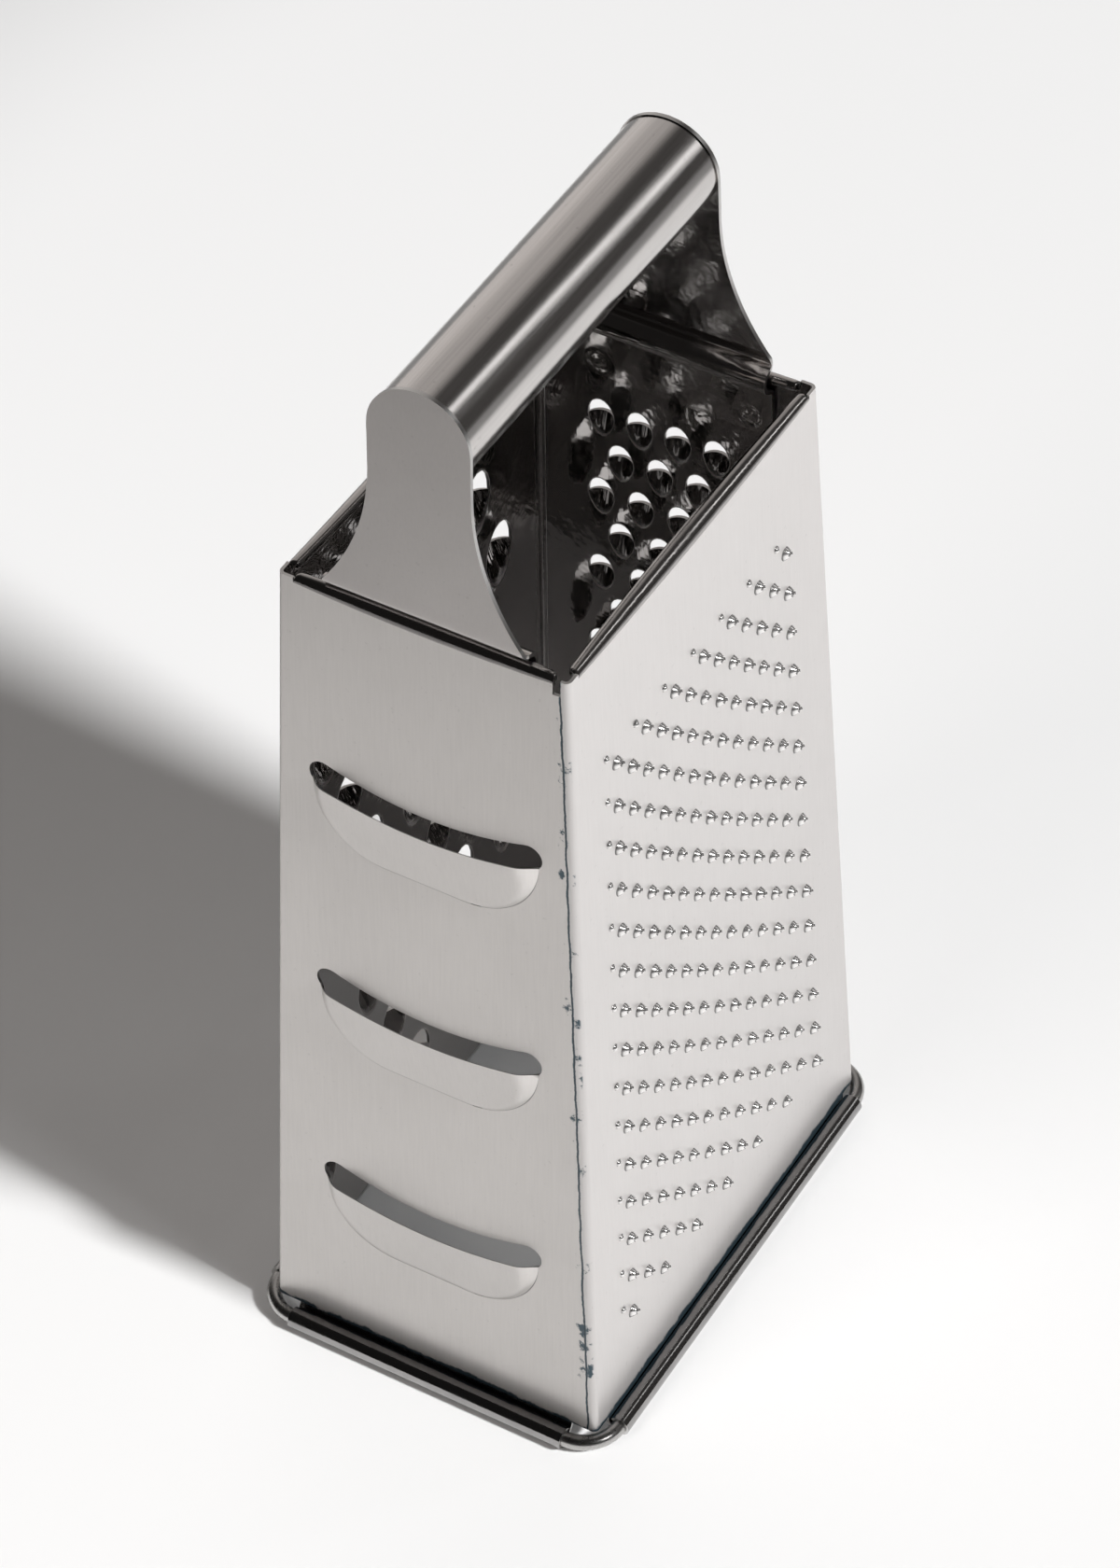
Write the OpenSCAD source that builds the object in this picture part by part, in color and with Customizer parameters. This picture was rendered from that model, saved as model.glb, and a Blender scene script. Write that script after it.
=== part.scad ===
// Box grater: two bent stainless sheets make a tapered four-sided body with four cutting faces.
// A wire ring stiffens the foot, and a round tube on two stamped uprights is the handle.
// The floor is z = 0 and the body is centred on the z axis. The wide faces look along Y.

/* [Body] */
// Outer width at the rim, across the two narrow faces
rim_w = 86.6; // [76:0.2:100]
// Outer depth at the rim, across the two wide faces
rim_d = 57; // [50:0.2:70]
// Outer width at the floor, across the two narrow faces
foot_w = 103; // [98:0.2:120]
// Outer depth at the floor, across the two wide faces
foot_d = 71.2; // [66:0.2:84]
// Height of the rim above the floor
rim_z = 189; // [186:1:215]
// Thickness of the body sheet
sheet_t = 0.6; // [0.4:0.05:0.7]
// Outer radius of the four corner bends
corner_r = 1.2; // [0.9:0.1:2]
// How far a sheet's edge strip laps round the seam corner
seam_lap = 0.5; // [0.3:0.1:1.5]

/* [Rolled rim and foot] */
// Outer radius of the rim's inward roll
hem_r = 1.3; // [1.1:0.05:1.6]
// Diameter of the foot's wire
wire_d = 3; // [2.4:0.1:3.6]
// Corner radius of the wire ring, at its centreline
ring_corner_r = 7.4; // [6:0.2:10]
// Distance of the wire's centreline outside a narrow face
narrow_ledge = 2.8; // [2.4:0.1:3.6]
// Distance of the wire's centreline outside a wide face
wide_ledge = 2.1; // [1.9:0.1:3]
// Radius of the cove between a face and its foot roll
cove_r = 3; // [2:0.2:3.4]

/* [Fine face] */
// Number of rows of fine teeth
fine_rows = 29; // [9:2:29]
// Teeth in the longer rows
fine_teeth = 7; // [3:1:7]
// Distance of the first row below the rim
fine_start = 29.2; // [24:0.2:40]
// Row spacing
fine_pitch = 4.88; // [4.4:0.02:5.1]
// Bare margin beside the field
fine_margin = 14.5; // [8:0.5:18]
// Diameter of a tooth's crown at its foot
crown_d = 2.9; // [2:0.1:3]
// Height of a crown
crown_h = 1.3; // [0.8:0.1:1.6]
// Diameter of the hole through a crown
crown_hole_d = 1.1; // [0.8:0.1:1.3]

/* [Medium face] */
// Number of rows of medium teeth
medium_rows = 14; // [4:1:14]
// Teeth in the longer rows
medium_teeth = 5; // [3:1:5]
// Distance of the first row below the rim
medium_start = 26.8; // [25:0.2:40]
// Row spacing
medium_pitch = 10.05; // [9.8:0.05:10.6]
// Bare margin beside the field
medium_margin = 13.6; // [11:0.2:16]
// Width of a medium tooth
medium_tooth_w = 5.4; // [4:0.1:5.8]
// Length of a medium tooth's hood
medium_hood_l = 4.6; // [3.6:0.1:4.7]
// How far a medium tooth stands out
medium_rise = 1.8; // [1.2:0.1:2]

/* [Coarse face] */
// Number of rows of coarse teeth
coarse_rows = 8; // [2:1:8]
// Teeth in the longer rows
coarse_teeth = 5; // [3:1:5]
// Distance of the first row below the rim
coarse_start = 36.5; // [32:0.5:44]
// Row spacing
coarse_pitch = 18.7; // [17:0.1:19]
// Bare margin beside the field
coarse_margin = 15.8; // [12:0.2:20]
// Width of a coarse tooth
coarse_tooth_w = 9; // [7:0.1:10]
// Length of a coarse tooth's hood
coarse_hood_l = 8; // [6:0.1:8.4]
// How far a coarse tooth stands out
coarse_rise = 3; // [2:0.1:3.4]

/* [Slicer face] */
// Number of slicing slots
slot_count = 3; // [1:1:3]
// Distance of the first slot's centre below the rim
slot_start = 46.6; // [40:0.2:54]
// Slot spacing
slot_pitch = 50.6; // [40:0.2:52]
// Height of a slot between its edges
slot_h = 5.4; // [4.8:0.1:7]
// Distance between the centres of a slot's round ends
slot_span = 41.6; // [34:0.2:44]
// Radius of the slot's curve
slot_curve_r = 65; // [50:1:120]
// Width of a lip between its two side creases
lip_w = 45.4; // [38:0.2:45.6]
// Distance from a slot's centre to the bottom crease of its lip
lip_drop = 13.4; // [11:0.2:15]
// Radius of the lip's lower corners
lip_corner_r = 16; // [10:0.5:17]
// Rise of the lip per length, towards its blade
lip_slope = 0.17; // [0.1:0.01:0.2]

/* [Handle] */
// Height of the tube's centreline above the floor
tube_z = 229; // [226:1:260]
// Outer diameter of the tube
tube_d = 19.2; // [16:0.2:24]
// Wall of the tube
tube_t = 0.8; // [0.5:0.1:1.5]
// Thickness of the uprights
plate_t = 0.8; // [0.6:0.1:1]
// How far the upright's round top stands proud of the tube
plate_proud = 0.3; // [0.1:0.1:1]
// Width of an upright at the rim
plate_foot_w = 40.4; // [34:0.2:46]
// Distance from the tube's centreline down to the start of the waist's curve
waist_drop = 9; // [6:0.5:12]
// Depth of the welded tab below the rim
tab_drop = 15.5; // [13:0.5:20]

/* [Hidden] */
$fn = 48;

// Clearances
seam_gap = 0.08;
seat_gap = 0.1;
wire_gap = 0.05;
hem_wrap_gap = 0.9;

// Longer than any wall is thick, for cuts that pass right through
through = 8;
// Bending thins the sheet by this much on each side, and a roll starts inside its wall
bend_thin = 0.02;
root_l = 1.2;

// Slopes of the faces
narrow_slope = (foot_w - rim_w) / 2 / rim_z;
wide_slope = (foot_d - rim_d) / 2 / rim_z;
narrow_tilt = atan(narrow_slope);
wide_tilt = atan(wide_slope);
function half_w(z) = foot_w / 2 - z * narrow_slope;
function half_d(z) = foot_d / 2 - z * wide_slope;

// Half the width of a wide or narrow face, at a distance s below the rim
function wide_half(s) = rim_w / 2 + s * narrow_slope;
function narrow_half(s) = rim_d / 2 + s * wide_slope;

// Foot roll: the sheet leaves the wall at the flare angle and runs round the wire in flats.
// The flats are half a step off the vertical, so that one of them lies on the floor
wire_r = wire_d / 2;
roll_in = wire_r + wire_gap;
roll_out = roll_in + sheet_t - 2 * bend_thin;
roll_mid = (roll_in + roll_out) / 2;
wire_z = roll_out;
bend_step = 15;
flare = 2.5 * bend_step;
roll_steps = 19;
roll_end = flare + roll_steps * bend_step;
cove_steps = 5;
ring_x = half_w(wire_z) + narrow_ledge;
ring_y = half_d(wire_z) + wide_ledge;
roll_half_x = ring_x - ring_corner_r - seat_gap;
roll_half_y = ring_y - ring_corner_r - seat_gap;
// The walls end above the wire at the corners, and a foot roll starts where both coves end
corner_foot_z = wire_z + wire_r + seat_gap;
join_lead = 0.2;
join_z = join_lead + max(corner_foot_z,
                         cove_centre(foot_w / 2, narrow_tilt, ring_x).y,
                         cove_centre(foot_d / 2, wide_tilt, ring_y).y);

// Rim roll: it stops short of the corners, and the narrow face has a notch at the seam
hem_steps = 18;
notch_w = 1.4;
notch_h = 3.6;
hem_stop = corner_r + seam_lap + notch_w;
corner_rim_z = rim_z - hem_r / 4;

// Points on an arc of radius r about c, from angle a0 to a1 in n steps
function arc(c, r, a0, a1, n) =
    [for (i = [0:n]) let (a = a0 + (a1 - a0) * i / n) c + r * [cos(a), sin(a)]];
function reversed(points) = [for (i = [len(points) - 1:-1:0]) points[i]];

// The point whose distances along the directions of angles a and b are p and q
function meet(a, p, b, q) = [p * sin(b) - q * sin(a), q * cos(a) - p * cos(b)] / sin(b - a);

// Stands its children on a face of the body: x runs along the rim, y up the slope from the
// rim and z outward. Turn 0 is the fine face, 90 medium, 180 coarse and 270 slicer
module on_face(turn) {
    wide = turn % 180 == 0;
    rotate([0, 0, turn])
        translate([0, -(wide ? rim_d : rim_w) / 2, rim_z])
            rotate([90 - (wide ? wide_tilt : narrow_tilt), 0, 0])
                children();
}

// Runs a profile of (outward, z) points along a face, from -half to half
module along_face(turn, half) {
    rotate([0, 0, turn - 90])
        rotate([90, 0, 0])
            linear_extrude(2 * half, center = true)
                children();
}

// Runs a profile of (up the slope, outward) points along the x axis, from -half to half
module along_x(half) {
    rotate([90, 0, 90])
        linear_extrude(2 * half, center = true)
            children();
}

// Plan of one bent sheet at height z, inset from its outer face: an edge strip, the seam
// corner, a wide wall, the plain corner and a narrow wall
corner_steps = 6;
function sheet_plan(z, inset) =
    let (a = half_w(z), b = half_d(z), r = corner_r)
    concat([[-a + inset, -b + r + seam_lap]],
           arc([-a + r, -b + r], r - inset, 180, 270, corner_steps),
           arc([a - r, -b + r], r - inset, 270, 360, corner_steps),
           [[a - inset, b - r - seam_lap - seam_gap]]);

// The plain walls of one sheet between two heights
module walls(low, high) {
    heights = [low, high, high, low];
    insets = [0, 0, sheet_t, sheet_t];
    n = len(sheet_plan(low, 0));
    points = [for (k = [0:3]) for (p = sheet_plan(heights[k], insets[k])) [p.x, p.y, heights[k]]];
    strips = [for (k = [0:3]) for (i = [0:n - 2])
              [k * n + i, (k + 1) % 4 * n + i, (k + 1) % 4 * n + i + 1, k * n + i + 1]];
    ends = [[0, 3 * n, 2 * n, n], [n - 1, 2 * n - 1, 3 * n - 1, 4 * n - 1]];
    polyhedron(points, concat(strips, ends));
}

// Section of the foot roll, as (outward, z), for a face that is foot_half out at the floor.
// The sheet's middle keeps to a cove and then to a circle round the wire
function bend(c, r, a0, a1, n) = [for (p = arc([0, 0], r, a0, a1, n)) c - p];
function cove_centre(foot_half, tilt, wire_out) =
    meet(tilt, foot_half * cos(tilt) - sheet_t / 2 + cove_r,
         flare, wire_out * cos(flare) + wire_z * sin(flare) + cove_r - roll_mid);
module roll_section(foot_half, tilt, wire_out) {
    cove = cove_centre(foot_half, tilt, wire_out);
    wire = [wire_out, wire_z];
    half_t = sheet_t / 2 - bend_thin;
    // The flats are moved out, so that their middles clear the wire
    spread = 1 / cos(bend_step / 2);
    root = join_z + root_l;
    root_out = (foot_half * cos(tilt) - sheet_t / 2 - root * sin(tilt)) / cos(tilt);
    polygon(concat(
        [[root_out + half_t, root], [root_out - half_t, root]],
        bend(cove, cove_r + half_t, tilt, flare, cove_steps),
        bend(wire, roll_out * spread, flare, roll_end, roll_steps),
        reversed(bend(wire, roll_in * spread, flare, roll_end, roll_steps)),
        reversed(bend(cove, cove_r - half_t, tilt, flare, cove_steps))));
}

// Section of the rim roll, as (up the slope, outward)
module hem_section() {
    c = [-hem_r, -hem_r];
    root = -hem_r - root_l;
    polygon(concat(
        [[root, bend_thin - sheet_t], [root, -bend_thin]],
        arc(c, hem_r - bend_thin, 90, -180, hem_steps),
        arc(c, hem_r - sheet_t + bend_thin, -180, 90, hem_steps)));
}

// One sheet without its teeth: walls with rim and foot rolls on its two faces
module plain_sheet() {
    hem_half_x = wide_half(0) - hem_stop;
    hem_half_y = narrow_half(0) - hem_stop;
    difference() {
        walls(corner_foot_z, corner_rim_z);
        // Room for the rim rolls
        on_face(0) translate([-hem_half_x, -hem_r, -through / 2])
            cube([2 * hem_half_x, through, through]);
        on_face(90) translate([-hem_half_y, -hem_r, -through / 2])
            cube([2 * hem_half_y, through, through]);
        // Room for the foot rolls
        translate([-roll_half_x, -foot_d / 2 - through / 2, 0])
            cube([2 * roll_half_x, through, join_z]);
        translate([foot_w / 2 - through / 2, -roll_half_y, 0])
            cube([through, 2 * roll_half_y, join_z]);
        // Notch below the rim at the seam
        on_face(90) translate([hem_half_y, -notch_h, -through / 2])
            cube([through, through, through]);
    }
    on_face(0) along_x(hem_half_x) hem_section();
    on_face(90) along_x(hem_half_y) hem_section();
    along_face(0, roll_half_x) roll_section(foot_d / 2, wide_tilt, ring_y);
    along_face(90, roll_half_y) roll_section(foot_w / 2, narrow_tilt, ring_x);
}

// Runs its children at every tooth of a staggered field. Every second row has one tooth fewer,
// and the rows fan out with the face
module at_teeth(rows, teeth, start, pitch, short_first) {
    for (row = [0:rows - 1]) {
        s = start + row * pitch;
        count = teeth - (row + short_first) % 2;
        step = 2 * $field_half[0] + 2 * $field_half[1] * s;
        for (i = [0:count - 1])
            translate([(i - (count - 1) / 2) * step / (teeth - 1), -s, 0]) children();
    }
}
module at_fine_teeth() {
    $field_half = [rim_w / 2 - fine_margin, narrow_slope];
    on_face(0) at_teeth(fine_rows, fine_teeth, fine_start, fine_pitch, 0) children();
}
module at_medium_teeth() {
    $field_half = [rim_d / 2 - medium_margin, wide_slope];
    on_face(90) at_teeth(medium_rows, medium_teeth, medium_start, medium_pitch, 0) children();
}
module at_coarse_teeth() {
    $field_half = [rim_w / 2 - coarse_margin, narrow_slope];
    on_face(180) at_teeth(coarse_rows, coarse_teeth, coarse_start, coarse_pitch, 1) children();
}

// A fine tooth: a crown whose foot starts in the middle of the sheet
module crown() {
    foot = sheet_t / 2;
    foot_d = crown_d * (1 + foot / crown_h / 2);
    translate([0, 0, -foot]) cylinder(crown_h + foot, d1 = foot_d, d2 = crown_d / 2);
}

// A hooded tooth: a pipe that leans into the face below its mouth, at y = 0. Its crest is
// rise out at the mouth and meets the face at hood_l
module hood(width, hood_l, rise, wall, reach) {
    lean = atan(rise / hood_l);
    translate([0, 0, rise])
        rotate([90 + lean, 0, 0])
            translate([0, -width / 2, -reach])
                cylinder((rise + sheet_t) / sin(lean) + reach, r = width / 2 - wall);
}

// The hollow of a hooded tooth and the opening above its mouth
module hood_hollow(width, hood_l, rise) {
    reach = rise / 4;
    hood(width, hood_l, rise, sheet_t, reach);
    mirror([0, 1, 0]) hood(width, hood_l, rise, sheet_t, reach);
}

// Everything deeper than the middle of the sheet, in a face's frame
module under_sheet() {
    size = 2 * rim_z;
    deep = 4 * through;
    translate([-size / 2, -size, -sheet_t / 2 - deep]) cube([size, size, deep]);
}

// Places its children at the centre of every slicing slot
module at_slots() {
    on_face(270)
        for (i = [0:slot_count - 1])
            translate([0, -slot_start - i * slot_pitch, 0]) children();
}

// Curved slot with round ends, about the centre of its curve
module slot() {
    half_angle = asin(slot_span / 2 / slot_curve_r);
    end_r = slot_h / 2;
    right = slot_curve_r * [sin(half_angle), -cos(half_angle)];
    left = [-right.x, right.y];
    translate([0, slot_curve_r, -through / 2]) linear_extrude(through) polygon(concat(
        arc([0, 0], slot_curve_r + end_r, 270 - half_angle, 270 + half_angle, 24),
        arc(right, end_r, half_angle - 75, half_angle + 75, 10),
        arc([0, 0], slot_curve_r - end_r, 270 + half_angle, 270 - half_angle, 24),
        arc(left, end_r, 105 - half_angle, 255 - half_angle, 10)));
}

// Raised lip below a slot: a ramp inside a rounded outline, with leaning sides. It ends at
// the slot's middle line, where the slot cuts its blade
lip_side = 0.9;
module lip() {
    top = lip_slope * (lip_drop + slot_h);
    deep = sheet_t;
    corner_x = lip_w / 2 - lip_corner_r;
    corner_y = lip_corner_r - lip_drop;
    size = 4 * lip_w;
    difference() {
        intersection() {
            union() {
                for (x = [-corner_x, corner_x])
                    translate([x, corner_y, -deep])
                        cylinder(top + deep, r1 = lip_corner_r + lip_side * deep,
                                 r2 = lip_corner_r - lip_side * top);
                along_x(corner_x) polygon([
                    [-lip_drop - lip_side * deep, -deep], [-lip_drop + lip_side * top, top],
                    [corner_y, top], [corner_y, -deep]]);
                translate([0, corner_y, 0]) rotate([90, 0, 180]) linear_extrude(lip_corner_r) polygon([
                    [-lip_w / 2 - lip_side * deep, -deep], [-lip_w / 2 + lip_side * top, top],
                    [lip_w / 2 - lip_side * top, top], [lip_w / 2 + lip_side * deep, -deep]]);
            }
            translate([0, -lip_drop, 0])
                rotate([atan(lip_slope), 0, 0])
                    translate([-size / 2, -size / 2, -size]) cube(size);
        }
        translate([0, slot_curve_r, -through]) cylinder(2 * through, r = slot_curve_r);
    }
}

module fine_medium_sheet() {
    color("#d6d7d6") difference() {
        union() {
            plain_sheet();
            at_fine_teeth() crown();
            difference() {
                at_medium_teeth() hood(medium_tooth_w, medium_hood_l, medium_rise, 0, 0);
                on_face(90) under_sheet();
            }
        }
        at_fine_teeth() cylinder(through, d = crown_hole_d, center = true);
        at_medium_teeth() hood_hollow(medium_tooth_w, medium_hood_l, medium_rise);
    }
}

module slicer_coarse_sheet() {
    color("#c2c4c5") difference() {
        union() {
            rotate([0, 0, 180]) plain_sheet();
            difference() {
                at_coarse_teeth() hood(coarse_tooth_w, coarse_hood_l, coarse_rise, 0, 0);
                on_face(180) under_sheet();
            }
            at_slots() lip();
        }
        at_coarse_teeth() hood_hollow(coarse_tooth_w, coarse_hood_l, coarse_rise);
        at_slots() translate([0, 0, -sheet_t]) lip();
        at_slots() slot();
    }
}

// Rounded rectangle of round wire inside the foot rolls. Its corners are bare, and swell a
// hair where the wire is bent
corner_swell = 0.02;
corner_lap = 0.2;
module base_ring() {
    x = ring_x - ring_corner_r;
    y = ring_y - ring_corner_r;
    color("#b4b6b8") translate([0, 0, wire_z]) {
        for (corner = [[x, y, 0], [-x, y, 90], [-x, -y, 180], [x, -y, 270]])
            translate([corner.x, corner.y, 0]) rotate([0, 0, corner.z])
                rotate_extrude(angle = 90) translate([ring_corner_r, 0]) circle(wire_r + corner_swell);
        for (side = [-1, 1]) {
            translate([0, side * ring_y, 0]) along_x(x + corner_lap) circle(wire_r);
            translate([side * ring_x, 0, 0]) rotate([0, 0, 90]) along_x(y + corner_lap) circle(wire_r);
        }
    }
}

// Upright: a plate in the plane of its narrow face. At the rim it bends inward, wraps over
// the rolled hem and comes back to the inside of the wall, where its tab is welded
tube_up = (tube_z - rim_z) / cos(narrow_tilt);
top_r = tube_d / 2 + plate_proud;
foot_half = plate_foot_w / 2;
wrap_r = hem_r + hem_wrap_gap + plate_t / 2;
shoulder_r = hem_r - plate_t / 2;
wrap_end = -145;
tab_bend_r = 1;
tab_corner_r = 4;

// Section of an upright, as (up the slope, outward); side is 1 for its outer skin
function upright_skin(side) =
    let (hem = [-hem_r, -hem_r],
         shoulder = [wrap_r - hem_r + shoulder_r, -hem_r],
         skin = side * plate_t / 2,
         leave = hem + wrap_r * [cos(wrap_end), sin(wrap_end)],
         heading = [sin(wrap_end), -cos(wrap_end)],
         tab_out = -sheet_t - seat_gap - plate_t / 2,
         land = wrap_end + 180,
         straight = (tab_out - tab_bend_r * (1 - sin(land)) - leave.y) / heading.y,
         tab_bend = leave + straight * heading - tab_bend_r * [cos(land), sin(land)])
    concat([[tube_up + top_r + through, -plate_t / 2 + skin]],
           arc(shoulder, shoulder_r + skin, 90, 180, 6),
           arc(hem, wrap_r - skin, 0, wrap_end, 10),
           arc(tab_bend, tab_bend_r + skin, land, 90, 4),
           [[-tab_drop - through, tab_out + skin]]);

module upright_outline() {
    waist_y = tube_up - waist_drop;
    foot_y = wrap_r - hem_r;
    flare_in = foot_half - top_r;
    waist_r = ((waist_y - foot_y) ^ 2 + flare_in ^ 2) / flare_in / 2;
    translate([0, tube_up]) circle(top_r);
    translate([-top_r, waist_y - 1]) square([2 * top_r, waist_drop + 1]);
    difference() {
        translate([-foot_half, foot_y]) square([plate_foot_w, waist_y - foot_y]);
        for (side = [-1, 1])
            translate([side * (top_r + waist_r), waist_y]) circle(waist_r, $fn = 96);
    }
    translate([-foot_half, tab_corner_r - tab_drop])
        square([plate_foot_w, foot_y + tab_drop - tab_corner_r]);
    for (side = [-1, 1])
        translate([side * (foot_half - tab_corner_r), tab_corner_r - tab_drop]) circle(tab_corner_r);
    translate([tab_corner_r - foot_half, -tab_drop])
        square([plate_foot_w - 2 * tab_corner_r, 2 * tab_corner_r]);
}

module upright(turn) {
    on_face(turn) intersection() {
        along_x(plate_foot_w) polygon(concat(upright_skin(1), reversed(upright_skin(-1))));
        translate([0, 0, -through]) linear_extrude(2 * through) upright_outline();
    }
}

module slicer_upright() {
    color("#a4a7aa") upright(270);
}

module medium_upright() {
    color("#a9acae") upright(90);
}

// Tube between the uprights, its ends cut to their slant
module handle_tube() {
    reach = rim_w;
    color("#bcbfc2") difference() {
        translate([0, 0, tube_z]) rotate([0, 90, 0]) difference() {
            cylinder(rim_w, d = tube_d, center = true);
            cylinder(2 * rim_w, d = tube_d - 2 * tube_t, center = true);
        }
        for (turn = [90, 270])
            on_face(turn) translate([-reach / 2, 0, -plate_t - seat_gap]) cube(reach);
    }
}

fine_medium_sheet();
slicer_coarse_sheet();
base_ring();
slicer_upright();
medium_upright();
handle_tube();
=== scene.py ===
# %% [markdown]
# # Box grater
# A box grater is a tapered tube of thin stainless sheet that stands on a kitchen board. Each of
# its four sides is punched with one kind of tooth, and a tube on two uprights is held from above.
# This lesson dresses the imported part: the sheets get their real teeth, rolls and lips, and every
# piece gets steel that is worn, brushed or polished as the real one is.

from functools import partial
from math import asin, atan, atan2, cos, degrees, hypot, pi, radians, sin, sqrt

import bmesh
import bpy
from mathutils import Matrix, Vector
from mathutils.geometry import delaunay_2d_cdt
from mathutils.kdtree import KDTree


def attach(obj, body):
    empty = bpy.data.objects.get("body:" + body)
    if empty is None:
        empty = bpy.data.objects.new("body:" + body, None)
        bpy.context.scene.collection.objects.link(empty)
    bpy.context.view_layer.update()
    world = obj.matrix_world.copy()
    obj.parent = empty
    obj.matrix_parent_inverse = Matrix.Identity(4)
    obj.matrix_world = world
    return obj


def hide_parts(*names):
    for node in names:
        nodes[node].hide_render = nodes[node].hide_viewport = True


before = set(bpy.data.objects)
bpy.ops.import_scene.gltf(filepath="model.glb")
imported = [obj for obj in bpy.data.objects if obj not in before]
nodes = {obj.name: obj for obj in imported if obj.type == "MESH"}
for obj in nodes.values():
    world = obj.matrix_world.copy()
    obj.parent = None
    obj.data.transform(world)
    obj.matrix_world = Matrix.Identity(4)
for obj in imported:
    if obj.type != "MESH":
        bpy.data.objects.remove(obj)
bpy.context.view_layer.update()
scene = bpy.context.scene
print("pieces of the part:", sorted(nodes))

# %% [markdown]
# ## Sizes
# The grater is drawn in millimetres, as its maker would, and turned into metres at the very end.
# These are the sizes of the part's own construction: a body that widens towards the foot, a
# rolled rim, a wire in the foot and four fields of teeth.

# %% Sizes of the body
MM = 0.001
RIM_W, RIM_D, RIM_Z = 86.6, 57.0, 189.0
FOOT_W, FOOT_D = 103.0, 71.2
SHEET_T = 0.6
CORNER_R = 1.2
SEAM_LAP, SEAM_GAP = 0.5, 0.08
NARROW_SLOPE = (FOOT_W - RIM_W) / 2 / RIM_Z
WIDE_SLOPE = (FOOT_D - RIM_D) / 2 / RIM_Z
NARROW_TILT, WIDE_TILT = atan(NARROW_SLOPE), atan(WIDE_SLOPE)


def half_w(z):
    return FOOT_W / 2 - z * NARROW_SLOPE


def half_d(z):
    return FOOT_D / 2 - z * WIDE_SLOPE


print("slopes:", round(degrees(NARROW_TILT), 2), round(degrees(WIDE_TILT), 2), "degrees")

# %% [markdown]
# ## Camera
# The photo looks down on the grater at 45 degrees, towards the corner between the fine face and
# the slicing face, through a long lens.

# %% Camera
TURN_ABOUT_Z, ELEVATION, ROLL = -1.025, 0.785, -0.026
AIM, DISTANCE = Vector((0, 0, 0.11408)), 0.99107
LENS, SENSOR_WIDTH = 125.35, 36


def placed(name, data, place=(0, 0, 0)):
    """Puts new data into the scene as an object."""
    piece = bpy.data.objects.new(name, data)
    piece.location = place
    scene.collection.objects.link(piece)
    return piece


back = Vector((sin(TURN_ABOUT_Z) * cos(ELEVATION), -cos(TURN_ABOUT_Z) * cos(ELEVATION), sin(ELEVATION)))
level = Vector((0, 0, 1)).cross(back).normalized()
upright_way = back.cross(level)
right = cos(ROLL) * level + sin(ROLL) * upright_way
up = cos(ROLL) * upright_way - sin(ROLL) * level
axes = Matrix((right, up, back)).transposed().to_4x4()
camera = placed("camera", bpy.data.cameras.new("camera"))
camera.data.lens = LENS
camera.data.sensor_width = SENSOR_WIDTH
camera.matrix_world = Matrix.Translation(AIM + DISTANCE * back) @ axes
scene.camera = camera
print("camera at", tuple(round(c, 3) for c in camera.matrix_world.translation))

# %% [markdown]
# ## Node trees
# Lamps, the room, steel and the punch are all described by trees of nodes. Such trees could be
# wired by hand in Blender's editor. Here a few helpers build them, so that a sum in a tree reads
# almost like a sum in Python.

# %% Helpers for node trees


def feed(node, feeds):
    """Gives sockets, by name or identifier, a value of their own or another node's output."""
    for name, source in feeds.items():
        target = next(s for s in node.inputs if name in (s.identifier, s.name))
        if isinstance(source, bpy.types.NodeSocket):
            node.id_data.links.new(source, target)
        else:
            target.default_value = source


def add_node(tree, kind, feeds=None, **settings):
    node = tree.nodes.new(kind)
    for name, value in settings.items():
        setattr(node, name, value)
    feed(node, feeds or {})
    return node


def worked(tree, operation, a, b=0):
    """A value worked out from two others, each of them a number or a node's output."""
    return add_node(tree, "ShaderNodeMath", {"Value": a, "Value_001": b}, operation=operation).outputs[0]


def sums(tree):
    """Adding, taking away and multiplying in a tree."""
    return [partial(worked, tree, operation) for operation in ("ADD", "SUBTRACT", "MULTIPLY")]


def rising(tree, source, low, high, top=1.0):
    """A value that goes smoothly from 0 to top while the source goes from low to high."""
    feeds = {"Value": source, "From Min": low, "From Max": high, "To Max": top}
    return add_node(tree, "ShaderNodeMapRange", feeds, interpolation_type="SMOOTHSTEP").outputs["Result"]


def axes_of(tree, kind):
    """The x, y and z of one kind of texture coordinate."""
    spot = add_node(tree, "ShaderNodeTexCoord").outputs[kind]
    return add_node(tree, "ShaderNodeSeparateXYZ", {"Vector": spot}).outputs


# %% [markdown]
# ## Studio
# The grater stands on a pale seamless floor. The light comes from the right and in front, so the
# shadow falls softly to the left, where a weak lamp fills it, and a small lamp lights the hollow
# of the body. Polished steel shows what it mirrors, so two more lamps are there to be mirrored: a
# window for the small crowns, and a strip that draws the bright line along the tube. A picture of
# a real room could do all this, but lamps can be set one by one until each reflection is right.

# %% Floor and lamps
scene.view_settings.view_transform = "Standard"
WARM = (1, 0.955, 0.925)


def plane_object(name, size, place):
    half = size / 2
    square = [(-half, -half, 0), (half, -half, 0), (half, half, 0), (-half, half, 0)]
    mesh = bpy.data.meshes.new(name)
    mesh.from_pydata(square, [], [(0, 1, 2, 3)])
    return placed(name, mesh, place)


def area_lamp(name, place, aim, size, power, colour=(1, 1, 1), mirrored=True, in_view=True):
    lamp = bpy.data.lights.new(name, "AREA")
    lamp.shape = "RECTANGLE"
    lamp.size, lamp.size_y = size
    lamp.energy = power
    lamp.color = colour
    piece = placed(name, lamp, place)
    piece.rotation_euler = (Vector(place) - Vector(aim)).to_track_quat("Z", "Y").to_euler()
    piece.visible_glossy = mirrored
    piece.visible_camera = in_view


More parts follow.
